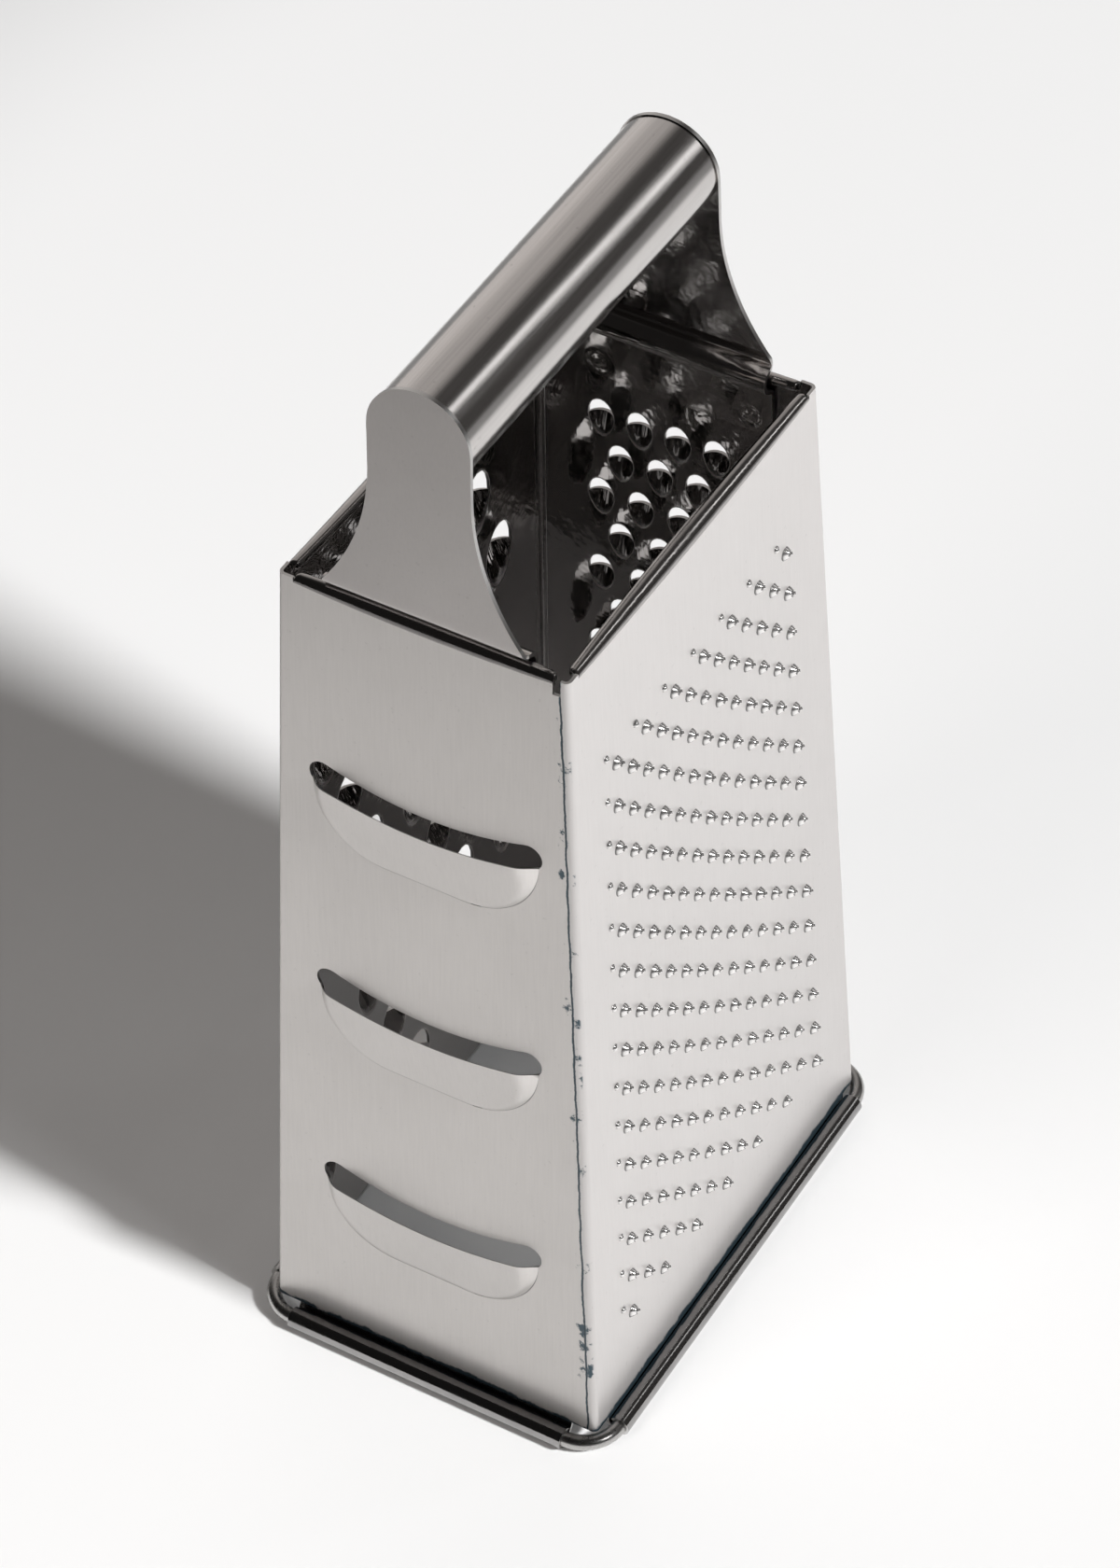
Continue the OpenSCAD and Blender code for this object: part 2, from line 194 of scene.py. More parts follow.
def even_lamp(name, place, radius, power):
    """A round lamp whose beam is shaped so that it lights a level floor evenly, as in the photo."""
    lamp = bpy.data.lights.new(name, "POINT")
    lamp.shadow_soft_size = radius
    lamp.energy = power
    lamp.use_nodes = True
    tree = lamp.node_tree
    steepness = worked(tree, "ABSOLUTE", axes_of(tree, "Normal")["Z"])
    falloff = add_node(tree, "ShaderNodeLightFalloff", {"Strength": worked(tree, "DIVIDE", 1, steepness)})
    feed(tree.nodes["Emission"], {"Strength": falloff.outputs["Constant"]})
    placed(name, lamp, place).visible_glossy = False


floor = plane_object("floor", 6, (0, 0, -0.0002))
even_lamp("key", (-0.054, -0.687, 0.578), radius=0.055, power=33)
area_lamp("fill", (-0.6, 0.16, 0.62), (0, 0.05, 0), (0.3, 0.3), 1.3, WARM, mirrored=False)
area_lamp("window", (-0.22, -1.5, 1.28), (0, 0, 0.1), (0.3, 0.3), 4)
area_lamp("light inside the body", (0, 0, 0.09), (0, 0, 0), (0.05, 0.025), 0.016,
          mirrored=False, in_view=False)
area_lamp("strip", (0.8, -0.66, 0.81), (0, 0, 0.22), (0.10, 0.6), 0.28)

# %% [markdown]
# Round the grater the room is nearly black, and that is what gives polished steel its black. Only
# behind the grater, seen from the camera, stands a pale backdrop. It dims with height, and that is
# what the rolled rim and the top of the handle mirror.

# %% The dark room and its backdrop
BACKDROP_TONE, BACKDROP_FALL = 0.62, 0.22
ROOM_TONE, ROOM_RISE = 0.015, 0.05
world = bpy.data.worlds.new("dark room")
scene.world = world
world.use_nodes = True
sky = world.node_tree
sky.nodes.clear()
plus, minus, times = sums(sky)
x, y, z = axes_of(sky, "Generated")
behind = times(rising(sky, x, 0.25, 0.55), rising(sky, y, -0.1, 0.25))
backdrop = minus(BACKDROP_TONE, rising(sky, z, 0.25, 0.62, BACKDROP_FALL))
room = plus(rising(sky, x, -0.2, 0.6, ROOM_RISE), ROOM_TONE)
shade = plus(times(behind, backdrop), room)
background = add_node(sky, "ShaderNodeBackground", {"Color": (*WARM, 1), "Strength": shade})
add_node(sky, "ShaderNodeOutputWorld", {"Surface": background.outputs["Background"]})
print("the world has", len(sky.nodes), "nodes")

# %% [markdown]
# The floor is pale where the camera sees it and painted greyer further out: painted shade that
# stands in for the lamp's light falling off with distance. The slicing face and the tube mirror
# that outer part, so their tone changes along them.

# %% The floor's paint, with painted shade further out
PAINTED_POOL_MIDDLE, PAINTED_POOL_RADIUS, PAINTED_FALLOFF_RADIUS = (0.18, -0.12, 0), 0.375, 0.62
PALE_TONE, PAINTED_FALLOFF_DEPTH, FLOOR_ROUGHNESS = 0.86, 0.56, 0.9
floor_material = bpy.data.materials.new("studio floor")
floor_material.use_nodes = True
paints = floor_material.node_tree
spot = add_node(paints, "ShaderNodeTexCoord").outputs["Object"]
away = add_node(paints, "ShaderNodeVectorMath", {
    "Vector": spot, "Vector_001": PAINTED_POOL_MIDDLE}, operation="DISTANCE")
# Painted shade: the floor's colour greys outward from a pale pool round the grater
painted_falloff = rising(paints, away.outputs["Value"], PAINTED_POOL_RADIUS, PAINTED_FALLOFF_RADIUS, PAINTED_FALLOFF_DEPTH)
tone = worked(paints, "SUBTRACT", PALE_TONE, painted_falloff)
feed(paints.nodes["Principled BSDF"], {"Base Color": tone, "Roughness": FLOOR_ROUGHNESS})
floor.data.materials.append(floor_material)
print("the floor fades from", PALE_TONE, "to", round(PALE_TONE - PAINTED_FALLOFF_DEPTH, 2))

# %% [markdown]
# ## The way a sheet is drawn
# Sheet metal is one thin skin with a thickness behind it. So each bent piece is drawn once, as
# its outer side, and every point carries the way to the inner side. Closing the two sides along
# their sheared edges gives a real solid wall. It could also be done with a solidify modifier,
# but a blade is ground thinner than the sheet, and that needs its own depth at every point.

# %% A skin and its two sides
OUTSIDE, INSIDE, EDGE, ROLLED, PUNCHED = 0, 1, 2, 3, 4
TOUCH = 0.004


class Skin:
    """The outer side of a piece of sheet. Each point knows the way to the inner side."""

    def __init__(self):
        self.outer = []
        self.ways = []
        self.faces = []
        self.rims = []
        self.painted_crease_marks = []
        self.rolled = set()

    def point(self, place, way, rim=False, crease=0.0):
        self.outer.append(Vector(place))
        self.ways.append(Vector(way))
        self.rims.append(rim)
        self.painted_crease_marks.append(crease)
        return len(self.outer) - 1

    def grid(self, rows, skip=(), rolled_from=None):
        for i, (low, high) in enumerate(zip(rows, rows[1:])):
            for k in range(len(low) - 1):
                if rolled_from is not None and i >= rolled_from:
                    self.rolled.add(len(self.faces))
                if (i, k) not in skip:
                    self.faces.append([low[k], low[k + 1], high[k + 1], high[k]])

    def close(self):
        """Joins points that touch, and returns the closed solid: its points, faces and their sides."""
        tree = KDTree(len(self.outer))
        for i, place in enumerate(self.outer):
            tree.insert(place, i)
        tree.balance()
        first = [min(found[1] for found in tree.find_range(place, TOUCH)) for place in self.outer]
        at_rim = {first[i] for i, rim in enumerate(self.rims) if rim}
        count = len(self.outer)
        points = self.outer + [place + way for place, way in zip(self.outer, self.ways)]
        faces, sides, uses = [], [], {}
        for number, face in enumerate(self.faces):
            corners = [first[i] for i in face]
            corners = [c for i, c in enumerate(corners) if c != corners[i - 1]]
            if len(corners) < 3:
                continue
            faces += [corners, [c + count for c in reversed(corners)]]
            sides += [ROLLED, ROLLED] if number in self.rolled else [OUTSIDE, INSIDE]
            for edge in zip(corners, corners[1:] + corners[:1]):
                uses.setdefault(frozenset(edge), []).append(edge)
        for found in uses.values():
            a, b = found[0]
            if len(found) == 1 and not (a in at_rim and b in at_rim):
                faces.append([b, a, a + count, b + count])
                sides.append(EDGE)
        return points, faces, sides


def soft_normals(mesh, crease=radians(38)):
    """Gives each corner of a face the mean direction of the faces around it, by area, up to a crease."""
    around = [[] for _ in mesh.vertices]
    for face in mesh.polygons:
        for v in face.vertices:
            around[v].append((face.normal.copy(), face.area))
    directions = []
    for face in mesh.polygons:
        own = face.normal.copy()
        for v in face.vertices:
            near = [normal * area for normal, area in around[v] if normal.dot(own) > cos(crease)]
            directions.append(sum(near, Vector()).normalized())
    mesh.shade_smooth()
    mesh.normals_split_custom_set(directions)


def piece_from(name, points, faces, sides, materials, added=(), painted_crease_marks=()):
    """Makes one closed piece in metres, and joins meshes to it where their rims meet."""
    mesh = bpy.data.meshes.new(name)
    mesh.from_pydata([tuple(p * MM) for p in points], [], faces)
    # The crease marks become an attribute that the steel paints as shade or as a glint
    if painted_crease_marks:
        mesh.attributes.new("crease", "FLOAT", "POINT").data.foreach_set("value", painted_crease_marks)
    mesh.polygons.foreach_set("material_index", sides)
    solid = bmesh.new()
    solid.from_mesh(mesh)
    for other in added:
        solid.from_mesh(other)
    bmesh.ops.remove_doubles(solid, verts=solid.verts, dist=TOUCH * MM)
    lone = [v for v in solid.verts if not v.link_faces]
    bmesh.ops.delete(solid, geom=lone, context="VERTS")
    bmesh.ops.recalc_face_normals(solid, faces=solid.faces)
    open_edges = sum(1 for e in solid.edges if len(e.link_faces) != 2)
    solid.to_mesh(mesh)
    solid.free()
    for material in materials:
        mesh.materials.append(material)
    soft_normals(mesh)
    piece = placed(name, mesh)
    print(name, len(mesh.polygons), "faces,", open_edges, "open edges")
    return piece


# %% [markdown]
# ## A face of the body
# Teeth, slots and lips are laid out on a flat face before it is bent up, so each face has its
# own frame: u runs along the rim, v up the slope from the rim, w outward.

# %% Frames of the faces
FINE, MEDIUM, COARSE, SLICER = 0, 90, 180, 270


def on_face(turn):
    wide = turn % 180 == 0
    tilt = WIDE_TILT if wide else NARROW_TILT
    half = (RIM_D if wide else RIM_W) / 2
    return (Matrix.Rotation(radians(turn), 4, "Z") @ Matrix.Translation((0, -half, RIM_Z))
            @ Matrix.Rotation(pi / 2 - tilt, 4, "X"))


def slope_at(z, tilt):
    """The place on a face, up the slope from the rim, of a height above the floor."""
    return (z - RIM_Z) / cos(tilt)


def arc(centre, radius, start, end, steps):
    turns = [radians(start + (end - start) * i / steps) for i in range(steps + 1)]
    return [(centre[0] + radius * cos(a), centre[1] + radius * sin(a)) for a in turns]


# %% [markdown]
# ## Where the teeth are
# The punch works in rows. Every second row has one tooth fewer, and because the face widens
# towards the foot, the teeth of a row stand further apart the lower it is. On the fine face the
# eye sees slanting lines that run down to the right. Each of them begins with a small blind
# dimple, before every tooth of the top row and before the first tooth of each full row below it.

# %% Fields of teeth
FINE_TEETH, FINE_ROWS, FINE_START, FINE_PITCH, FINE_MARGIN = 7, 29, 29.2, 4.88, 14.5
MEDIUM_TEETH, MEDIUM_ROWS, MEDIUM_START, MEDIUM_PITCH, MEDIUM_MARGIN = 5, 14, 26.8, 10.05, 13.6
COARSE_TEETH, COARSE_ROWS, COARSE_START, COARSE_PITCH, COARSE_MARGIN = 5, 8, 36.5, 18.7, 15.8
PIP_LEFT, PIP_UP = 3.2, 3.5


def field(teeth, rows, start, pitch, half, slope, short_first=0):
    """Places (u, v) row by row from the top. half is half of a full row's width at the rim."""
    places = []
    for row in range(rows):
        s = start + row * pitch
        count = teeth - (row + short_first) % 2
        step = 2 * (half + slope * s) / (teeth - 1)
        places += [((i - (count - 1) / 2) * step, -s) for i in range(count)]
    return places


fine_places = field(FINE_TEETH, FINE_ROWS, FINE_START, FINE_PITCH, RIM_W / 2 - FINE_MARGIN, NARROW_SLOPE)
medium_places = field(MEDIUM_TEETH, MEDIUM_ROWS, MEDIUM_START, MEDIUM_PITCH, RIM_D / 2 - MEDIUM_MARGIN,
                      WIDE_SLOPE)
coarse_places = field(COARSE_TEETH, COARSE_ROWS, COARSE_START, COARSE_PITCH, RIM_W / 2 - COARSE_MARGIN,
                      NARROW_SLOPE, short_first=1)
two_rows = 2 * FINE_TEETH - 1
line_starts = fine_places[:FINE_TEETH] + fine_places[two_rows::two_rows]
pip_places = [(u - PIP_LEFT, v + PIP_UP) for u, v in line_starts]
print(len(fine_places), "fine,", len(medium_places), "medium,", len(coarse_places), "coarse teeth,",
      len(pip_places), "dimples")

# %% [markdown]
# ## The shape of a tooth
# A fine tooth is burst from behind by a pointed punch: the sheet rises in a crown and tears into
# four petals round a hole. A medium or coarse tooth is sheared along its upper edge and pushed
# out from behind, so it is a hood with its mouth up the slope. Each is drawn once, at unit size,
# with both of its sides. The value called depth says how much of the sheet's thickness lies
# above a point: 0 on the outer side, 1 on the inner side. The value called crease is 1 where the
# metal is torn or sharply bent. There the steel's tone is painted: darker on punched and brushed
# outer sides, as painted shade, and lighter on the bright inner side, as a painted glint.

# %% Unit meshes and round teeth
AROUND = 16
PETALS, PETAL_SPREAD, PETAL_CHANCE, PETAL_TURN = 4, 0.35, 0.25, 0.6
INNER_FROM = 0.3


def unit_mesh(name, points, faces):
    """points are (x, y, height, depth, crease); faces are (corner numbers, True on the inner side)."""
    mesh = bpy.data.meshes.new(name)
    mesh.from_pydata([p[:3] for p in points], [], [f[0] for f in faces])
    for label, number in (("depth", 3), ("crease", 4)):
        values = mesh.attributes.new(label, "FLOAT", "POINT")
        values.data.foreach_set("value", [p[number] for p in points])
    inner = mesh.attributes.new("inner_side", "BOOLEAN", "FACE")
    inner.data.foreach_set("value", [f[1] for f in faces])
    return placed(name, mesh)


def ring_tooth(name, rings, lean=(0, 0)):
    """A round tooth from rings of (radius, height, depth, tear, crease), seen from the rim inward.

    lean is how far its top stands to the right and up. The crease, and its painted shade, lie on the side it
    leans from.
    """
    toward = atan2(lean[1], lean[0]) if lean != (0, 0) else None
    points, faces = [], []
    for radius, height, depth, tear, crease in rings:
        for k in range(AROUND):
            a = 2 * pi * k / AROUND
            torn = tear * (0.5 + 0.5 * cos(PETALS * a))
            top = height * (1 - torn + PETAL_CHANCE * tear * sin(a + PETAL_TURN))
            spread = radius * (1 + PETAL_SPREAD * torn)
            # Painted shade: the crease mark is full on the side away from the lean and nothing on the other
            painted_side_crease = crease * (1 if toward is None else 0.5 - 0.5 * cos(a - toward))
            points.append((spread * cos(a) + lean[0] * height, spread * sin(a) + lean[1] * height,
                           top, depth, painted_side_crease))
    for ring in range(len(rings) - 1):
        for k in range(AROUND):
            low, high = ring * AROUND, (ring + 1) * AROUND
            after = (k + 1) % AROUND
            inner = rings[ring][2] >= INNER_FROM
            faces.append(([low + k, low + after, high + after, high + k], inner))
    return unit_mesh(name, points, faces)


# The last number of a ring is its crease mark: painted shade at the foot and torn tip, a painted glint
# inside
crown = ring_tooth("crown", [
    (0.50, 0.00, 0.00, 0.0, 0.6),
    (0.475, 0.05, 0.00, 0.0, 1.0),
    (0.40, 0.34, 0.00, 0.0, 0.15),
    (0.31, 0.56, 0.00, 0.0, 0.0),
    (0.235, 1.00, 0.00, 0.25, 0.0),
    (0.17, 0.94, 0.12, 0.25, 0.3),
    (0.19, 0.30, 0.60, 0.0, 1.0),
    (0.44, 0.10, 1.00, 0.0, 0.6),
    (0.50, 0.00, 1.00, 0.0, 0.0)], lean=(0.13, 0.03))
crown_outline = arc((0, 0), 0.5, 0, 360, AROUND)[:-1]

# A dimple is blind: its rings run up on the outer side and back down on the inner side
# The crease marks at the foot of a dimple are painted shade
dome = [(0.50, 0.00, 0.6), (0.44, 0.20, 0.5), (0.34, 0.62, 0), (0.18, 0.92, 0), (0.03, 1.00, 0)]
dimple = ring_tooth("dimple", [(radius, height, 0, 0, crease) for radius, height, crease in dome]
                    + [(radius, height, 1, 0, 0) for radius, height, _ in reversed(dome)])

# %% A hooded tooth
HOOD_STEPS, HOOD_ROWS = 10, 4
OPENING, HOOD_BORDER = 0.92, 1.1
HOOD_BLUNTNESS, HOOD_SAG = 0.7, 0.12


def hood_tooth(name):
    """A hood below y = 0 with an opening above it. The outline is left open, to meet the sheet."""
    points, faces, numbers = [], [], {}
    across = [-0.5 * cos(pi * k / HOOD_STEPS) for k in range(HOOD_STEPS + 1)]
    crest = [max(1 - 4 * x * x, 0) ** HOOD_BLUNTNESS for x in across]
    upper = [(x / 2, OPENING * y) for x, y in arc((0, 0), 1, 0, 180, HOOD_STEPS)]
    loop = [(x, -c) for x, c in zip(across, crest)] + upper[1:-1]
    middle = (OPENING - 1) / 2
    border = [(x * HOOD_BORDER, middle + (y - middle) * HOOD_BORDER) for x, y in loop]
    count = len(loop)

    def corner(key, x, y, height, depth):
        if key not in numbers:
            numbers[key] = len(points)
            # The loop round the opening is marked as a crease: painted shade on brushed steel outside, a
            # painted glint inside
            points.append((x, y, height, depth, float(key[0] == "loop")))
        return numbers[key]

    def sheared(depth, i):
        """A corner of the sheared edge: the hood's mouth, then the loop round the opening."""
        return numbers["hood", depth, i, HOOD_ROWS] if 0 < i < HOOD_STEPS else numbers["loop", depth, i]

    for depth in (0, 1):
        for k in range(count):
            ring = []
            for i in (k, (k + 1) % count):
                wide = corner(("border", depth, i), *border[i], 0, depth)
                ring.append((wide, corner(("loop", depth, i), *loop[i], 0, depth)))
            faces.append(([ring[0][0], ring[1][0], ring[1][1], ring[0][1]], depth == 1))
        for k in range(HOOD_STEPS):
            for j in range(HOOD_ROWS):
                quad = []
                for i, row in ((k, j), (k + 1, j), (k + 1, j + 1), (k, j + 1)):
                    if row == 0 or i in (0, HOOD_STEPS):
                        quad.append(numbers["loop", depth, i])
                    else:
                        below = 1 - row / HOOD_ROWS
                        y = -crest[i] * below
                        height = (crest[i] + y) * (1 - HOOD_SAG * below)
                        quad.append(corner(("hood", depth, i, row), across[i], y, height, depth))
                quad = [c for i, c in enumerate(quad) if c != quad[i - 1]]
                if len(quad) > 2:
                    faces.append((quad, depth == 1))
    for k in range(HOOD_STEPS, HOOD_STEPS + count):
        here, after = k % count, (k + 1) % count
        faces.append(([sheared(0, here), sheared(0, after), sheared(1, after), sheared(1, here)], False))
    return unit_mesh(name, points, faces), border


hood, hood_outline = hood_tooth("hood")
print("crown", len(crown.data.polygons), "faces, hood", len(hood.data.polygons), "faces")

# %% [markdown]
# ## Punching a field
# The teeth of a field are one tooth set on many points, which is what Geometry Nodes are for.
# The tree takes the real sizes and lifts each tooth by its own chance height, since no two bursts
# are alike. Only heights above the sheet change, so the rims still meet the holes in the sheet.

# %% The punching tree
PUNCH_INPUTS = {"Places": "Geometry", "Tooth": "Object", "Width": "Float", "Length": "Float",
                "Height": "Float", "Sheet Thickness": "Float", "Height Variation": "Float",
                "Seed": "Int", "Outside": "Material", "Inside": "Material"}
punch = bpy.data.node_groups.new("punch a field of teeth", "GeometryNodeTree")
for label, kind in PUNCH_INPUTS.items():
    punch.interface.new_socket(label, in_out="INPUT", socket_type="NodeSocket" + kind)
punch.interface.new_socket("Teeth", in_out="OUTPUT", socket_type="NodeSocketGeometry")


def build_punch(tree):
    _, minus, times = sums(tree)
    given = add_node(tree, "NodeGroupInput").outputs

    def carried(name, kind="FLOAT"):
        """A value that each point or face carries from its pattern, or was given when placed."""
        return add_node(tree, "GeometryNodeInputNamedAttribute", {"Name": name}, data_type=kind).outputs[0]

    tooth = add_node(tree, "GeometryNodeObjectInfo", {"Object": given["Tooth"]}, transform_space="ORIGINAL")
    size = add_node(tree, "ShaderNodeCombineXYZ", {"X": given["Width"], "Y": given["Length"], "Z": 1})
    instances = add_node(tree, "GeometryNodeInstanceOnPoints", {
        "Points": given["Places"], "Instance": tooth.outputs["Geometry"], "Scale": size.outputs[0]})
    lowest = minus(1, given["Height Variation"])
    chance = add_node(tree, "FunctionNodeRandomValue", {
        "Min_001": lowest, "Max_001": 1, "Seed": given["Seed"]}, data_type="FLOAT")
    lifted = add_node(tree, "GeometryNodeStoreNamedAttribute", {
        "Geometry": instances.outputs[0], "Name": "lift", "Value": chance.outputs[1]},
        data_type="FLOAT", domain="INSTANCE")
    realized = add_node(tree, "GeometryNodeRealizeInstances", {"Geometry": lifted.outputs[0]})

    position = add_node(tree, "GeometryNodeInputPosition").outputs[0]
    x, y, z = add_node(tree, "ShaderNodeSeparateXYZ", {"Vector": position}).outputs
    raised = times(z, times(given["Height"], carried("lift")))
    sunk = times(given["Sheet Thickness"], carried("depth"))
    there = add_node(tree, "ShaderNodeCombineXYZ", {"X": x, "Y": y, "Z": minus(raised, sunk)})
    moved = add_node(tree, "GeometryNodeSetPosition", {
        "Geometry": realized.outputs[0], "Position": there.outputs[0]})
    outer = add_node(tree, "GeometryNodeSetMaterial", {
        "Geometry": moved.outputs[0], "Material": given["Outside"]})
    inner = add_node(tree, "GeometryNodeSetMaterial", {
        "Geometry": outer.outputs[0], "Selection": carried("inner_side", "BOOLEAN"),
        "Material": given["Inside"]})
    add_node(tree, "NodeGroupOutput", {"Teeth": inner.outputs[0]})


build_punch(punch)
identifiers = {item.name: item.identifier for item in punch.interface.items_tree
               if item.in_out == "INPUT"}
print("the punching tree has", len(punch.nodes), "nodes")


def punched(places, turn, tooth, size, variation, seed, outside, inside, face_side=OUTSIDE):
    """The teeth of one field as a mesh in the part's frame, in metres. size is in millimetres."""
    mesh = bpy.data.meshes.new("places")
    mesh.from_pydata([(u * MM, v * MM, 0) for u, v in places], [], [])
    carrier = placed("field", mesh)
    modifier = carrier.modifiers.new("punch", "NODES")
    modifier.node_group = punch
    width, length, height = size
    given = {"Tooth": tooth, "Width": width * MM, "Length": length * MM, "Height": height * MM,
             "Sheet Thickness": SHEET_T * MM, "Height Variation": variation, "Seed": seed,
             "Outside": outside, "Inside": inside}
    for label, value in given.items():
        modifier[identifiers[label]] = value
    carrier.update_tag()
    bpy.context.view_layer.update()
    graph = bpy.context.evaluated_depsgraph_get()
    teeth = bpy.data.meshes.new_from_object(carrier.evaluated_get(graph))
    bpy.data.objects.remove(carrier)
    face = on_face(turn)
    face.translation = face.translation * MM
    teeth.transform(face)
    number = {None: face_side, outside: face_side, inside: INSIDE}
    sides = [number[teeth.materials[p.material_index]] for p in teeth.polygons]
    teeth.polygons.foreach_set("material_index", sides)
    return teeth

# %% [markdown]
# ## Bending a sheet
# One sheet makes a wide face and a narrow face, so the body has two of them and two seams. The
# bends at the corners are tight. Bends could be made with a bevel modifier on a folded plane, but
# here a corner's two faces also lean inward by different angles, so each line is worked out.

# %% Sizes of the bends, and the corners
CORNER_STEPS, COVE_STEPS, ROLL_STEPS, HEM_STEPS, ALONG = 6, 6, 24, 18, 24
HEM_R, HEM_BOW, HEM_BACK_R, HEM_TURN = 1.3, 0.9, 1.0, 270
PINCH, PINCH_LENGTH, PINCH_LINES = 0.62, 1.1, (0, 0.3, 0.8)
WIRE_R, WIRE_Z, WIRE_WRAP = 1.5, 2.11, radians(285)
WIRE_OUT_NARROW, WIRE_OUT_WIDE = 2.8, 2.1
ROLL_IN, ROLL_WALL = 1.55, SHEET_T - 0.04
ROLL_MID = ROLL_IN + ROLL_WALL / 2
COVE_R, FLARE = 1.3, radians(37.5)
RING_X = half_w(WIRE_Z) + WIRE_OUT_NARROW
RING_Y = half_d(WIRE_Z) + WIRE_OUT_WIDE
RING_CORNER_R, ROLL_GAP = 7.4, 0.1
ROLL_HALF_X = RING_X - RING_CORNER_R - ROLL_GAP
ROLL_HALF_Y = RING_Y - RING_CORNER_R - ROLL_GAP
CORNER_FOOT_Z = WIRE_Z + WIRE_R + ROLL_GAP
CORNER_RIM_Z = RIM_Z - HEM_R / 4
NOTCH_W, NOTCH_H = 1.4, 3.6
HEM_STOP = CORNER_R + SEAM_LAP + NOTCH_W
print("the foot rolls are", round(2 * ROLL_HALF_X, 1), "and", round(2 * ROLL_HALF_Y, 1), "mm long")


def corner_bend(skin, sx, sy, start, end, tilt_start, tilt_end):
    """The bend between two faces, from one angle seen from above to another."""
    rows = []
    for k in range(CORNER_STEPS + 1):
        share = k / CORNER_STEPS
        a = radians(start + (end - start) * share)
        tilt = tilt_start + (tilt_end - tilt_start) * share
        way = -SHEET_T * Vector((cos(tilt) * cos(a), cos(tilt) * sin(a), sin(tilt)))
        row = []
        for z in (CORNER_FOOT_Z, CORNER_RIM_Z):
            centre = Vector((sx * (half_w(z) - CORNER_R), sy * (half_d(z) - CORNER_R), z))
            row.append(skin.point(centre + CORNER_R * Vector((cos(a), sin(a), 0)), way))
        rows.append(row)
    skin.grid(rows)


def edge_strip(skin):
    """The strip that laps round the seam corner, past its bend."""
    rows = []
    for past in (SEAM_LAP, 0):
        row = []
        for z in (CORNER_FOOT_Z, CORNER_RIM_Z):
            place = Vector((-half_w(z), -half_d(z) + CORNER_R + past, z))
            row.append(skin.point(place, -SHEET_T * Vector((-cos(NARROW_TILT), 0, sin(NARROW_TILT)))))
        rows.append(row)
    skin.grid(rows)


# %% [markdown]
# ## The foot roll and the rim
# At the foot the sheet flares outward in a small cove and wraps round the wire. Along the rim it
# rolls inward on itself, which leaves no sharp edge for a hand. Both are one profile carried
# along a straight edge. A curve with a profile object would do that too, but here the profile
# changes along the way: the hem is fuller in the middle of a face and pinched at its ends.

# %% The foot roll and the rim's roll


def cove_centre(foot_half, tilt, wire_out):
    p = foot_half * cos(tilt) - SHEET_T / 2 + COVE_R
    q = wire_out * cos(FLARE) + WIRE_Z * sin(FLARE) + COVE_R - ROLL_MID
    return ((p * sin(FLARE) - q * sin(tilt)) / sin(FLARE - tilt),
            (q * cos(tilt) - p * cos(FLARE)) / sin(FLARE - tilt))


def spread_out(half):
    return [half * (2 * i / ALONG - 1) for i in range(ALONG + 1)]


def foot_roll(skin, turn, foot_half, tilt, wire_out, half):
    """The cove and the roll round the wire. Returns the height at which they leave the wall."""
    cove, r = cove_centre(foot_half, tilt, wire_out), COVE_R - SHEET_T / 2
    profile = []
    for k in range(COVE_STEPS + 1):
        a = tilt + (FLARE - tilt) * k / COVE_STEPS
        profile.append((cove[0] - r * cos(a), cove[1] - r * sin(a), a))
    for k in range(ROLL_STEPS + 1):
        a = FLARE + WIRE_WRAP * k / ROLL_STEPS
        profile.append((wire_out - ROLL_IN * cos(a), WIRE_Z - ROLL_IN * sin(a), a))
    about = Matrix.Rotation(radians(turn), 3, "Z")
    rows = []
    for i, (out, z, a) in enumerate(profile):
        thick = SHEET_T if i == 0 else ROLL_WALL
        way = about @ Vector((0, cos(a), -sin(a))) * thick
        rows.append([skin.point(about @ Vector((u, -out, z)), way) for u in spread_out(half)])
    skin.grid(rows, rolled_from=0)
    return profile[0][1]


def hem_drop(u, half):
    """How far below the rim the roll begins. It is deepest in the middle of a face."""
    return HEM_R + HEM_BOW * (1 - (u / half) ** 2)


def rim_roll(skin, turn, half):
    """The sheet's top edge rolled inward. Its ends are pinched, so they look rounded."""
    face = on_face(turn)
    turned = face.to_3x3()
    # Extra lines near both ends, where the roll narrows
    lines = [e - half for e in PINCH_LINES] + spread_out(half)[1:-1]
    lines += [half - e for e in reversed(PINCH_LINES)]
    rows = []
    for k in range(HEM_STEPS + 1):
        a = radians(90 - HEM_TURN * k / HEM_STEPS)
        row = []
        for u in lines:
            near = min(1, (half - abs(u)) / PINCH_LENGTH)
            pinch = PINCH + (1 - PINCH) * sqrt(near * (2 - near))
            front, back = hem_drop(u, half) * pinch, HEM_BACK_R * pinch
            r = front if a > 0 else back
            crest = front - hem_drop(u, half)
            place = face @ Vector((u, crest + r * (cos(a) - 1), -front + r * sin(a)))
            way = turned @ Vector((0, -cos(a), -sin(a)))
            row.append(skin.point(place, way * (SHEET_T if k == 0 else ROLL_WALL)))
        rows.append(row)
    skin.grid(rows, rolled_from=0)
    return lines


# %% [markdown]
# ## The flat of a face
# What is left of a face is flat and full of holes. Cutting them with a boolean would leave long
# thin triangles and could fail where rims meet, so the flat is filled at once round its outline
# and all its holes, and the teeth are joined to it rim by rim.

# %% Filling a flat


def is_inside(place, loop):
    """True if a straight way to the right of the place crosses the loop an odd number of times."""
    crossings = 0
    for (x0, y0), (x1, y1) in zip(loop, loop[1:] + loop[:1]):
        if (y0 > place[1]) != (y1 > place[1]):
            crossings += x0 + (x1 - x0) * (place[1] - y0) / (y1 - y0) > place[0]
    return crossings % 2 == 1


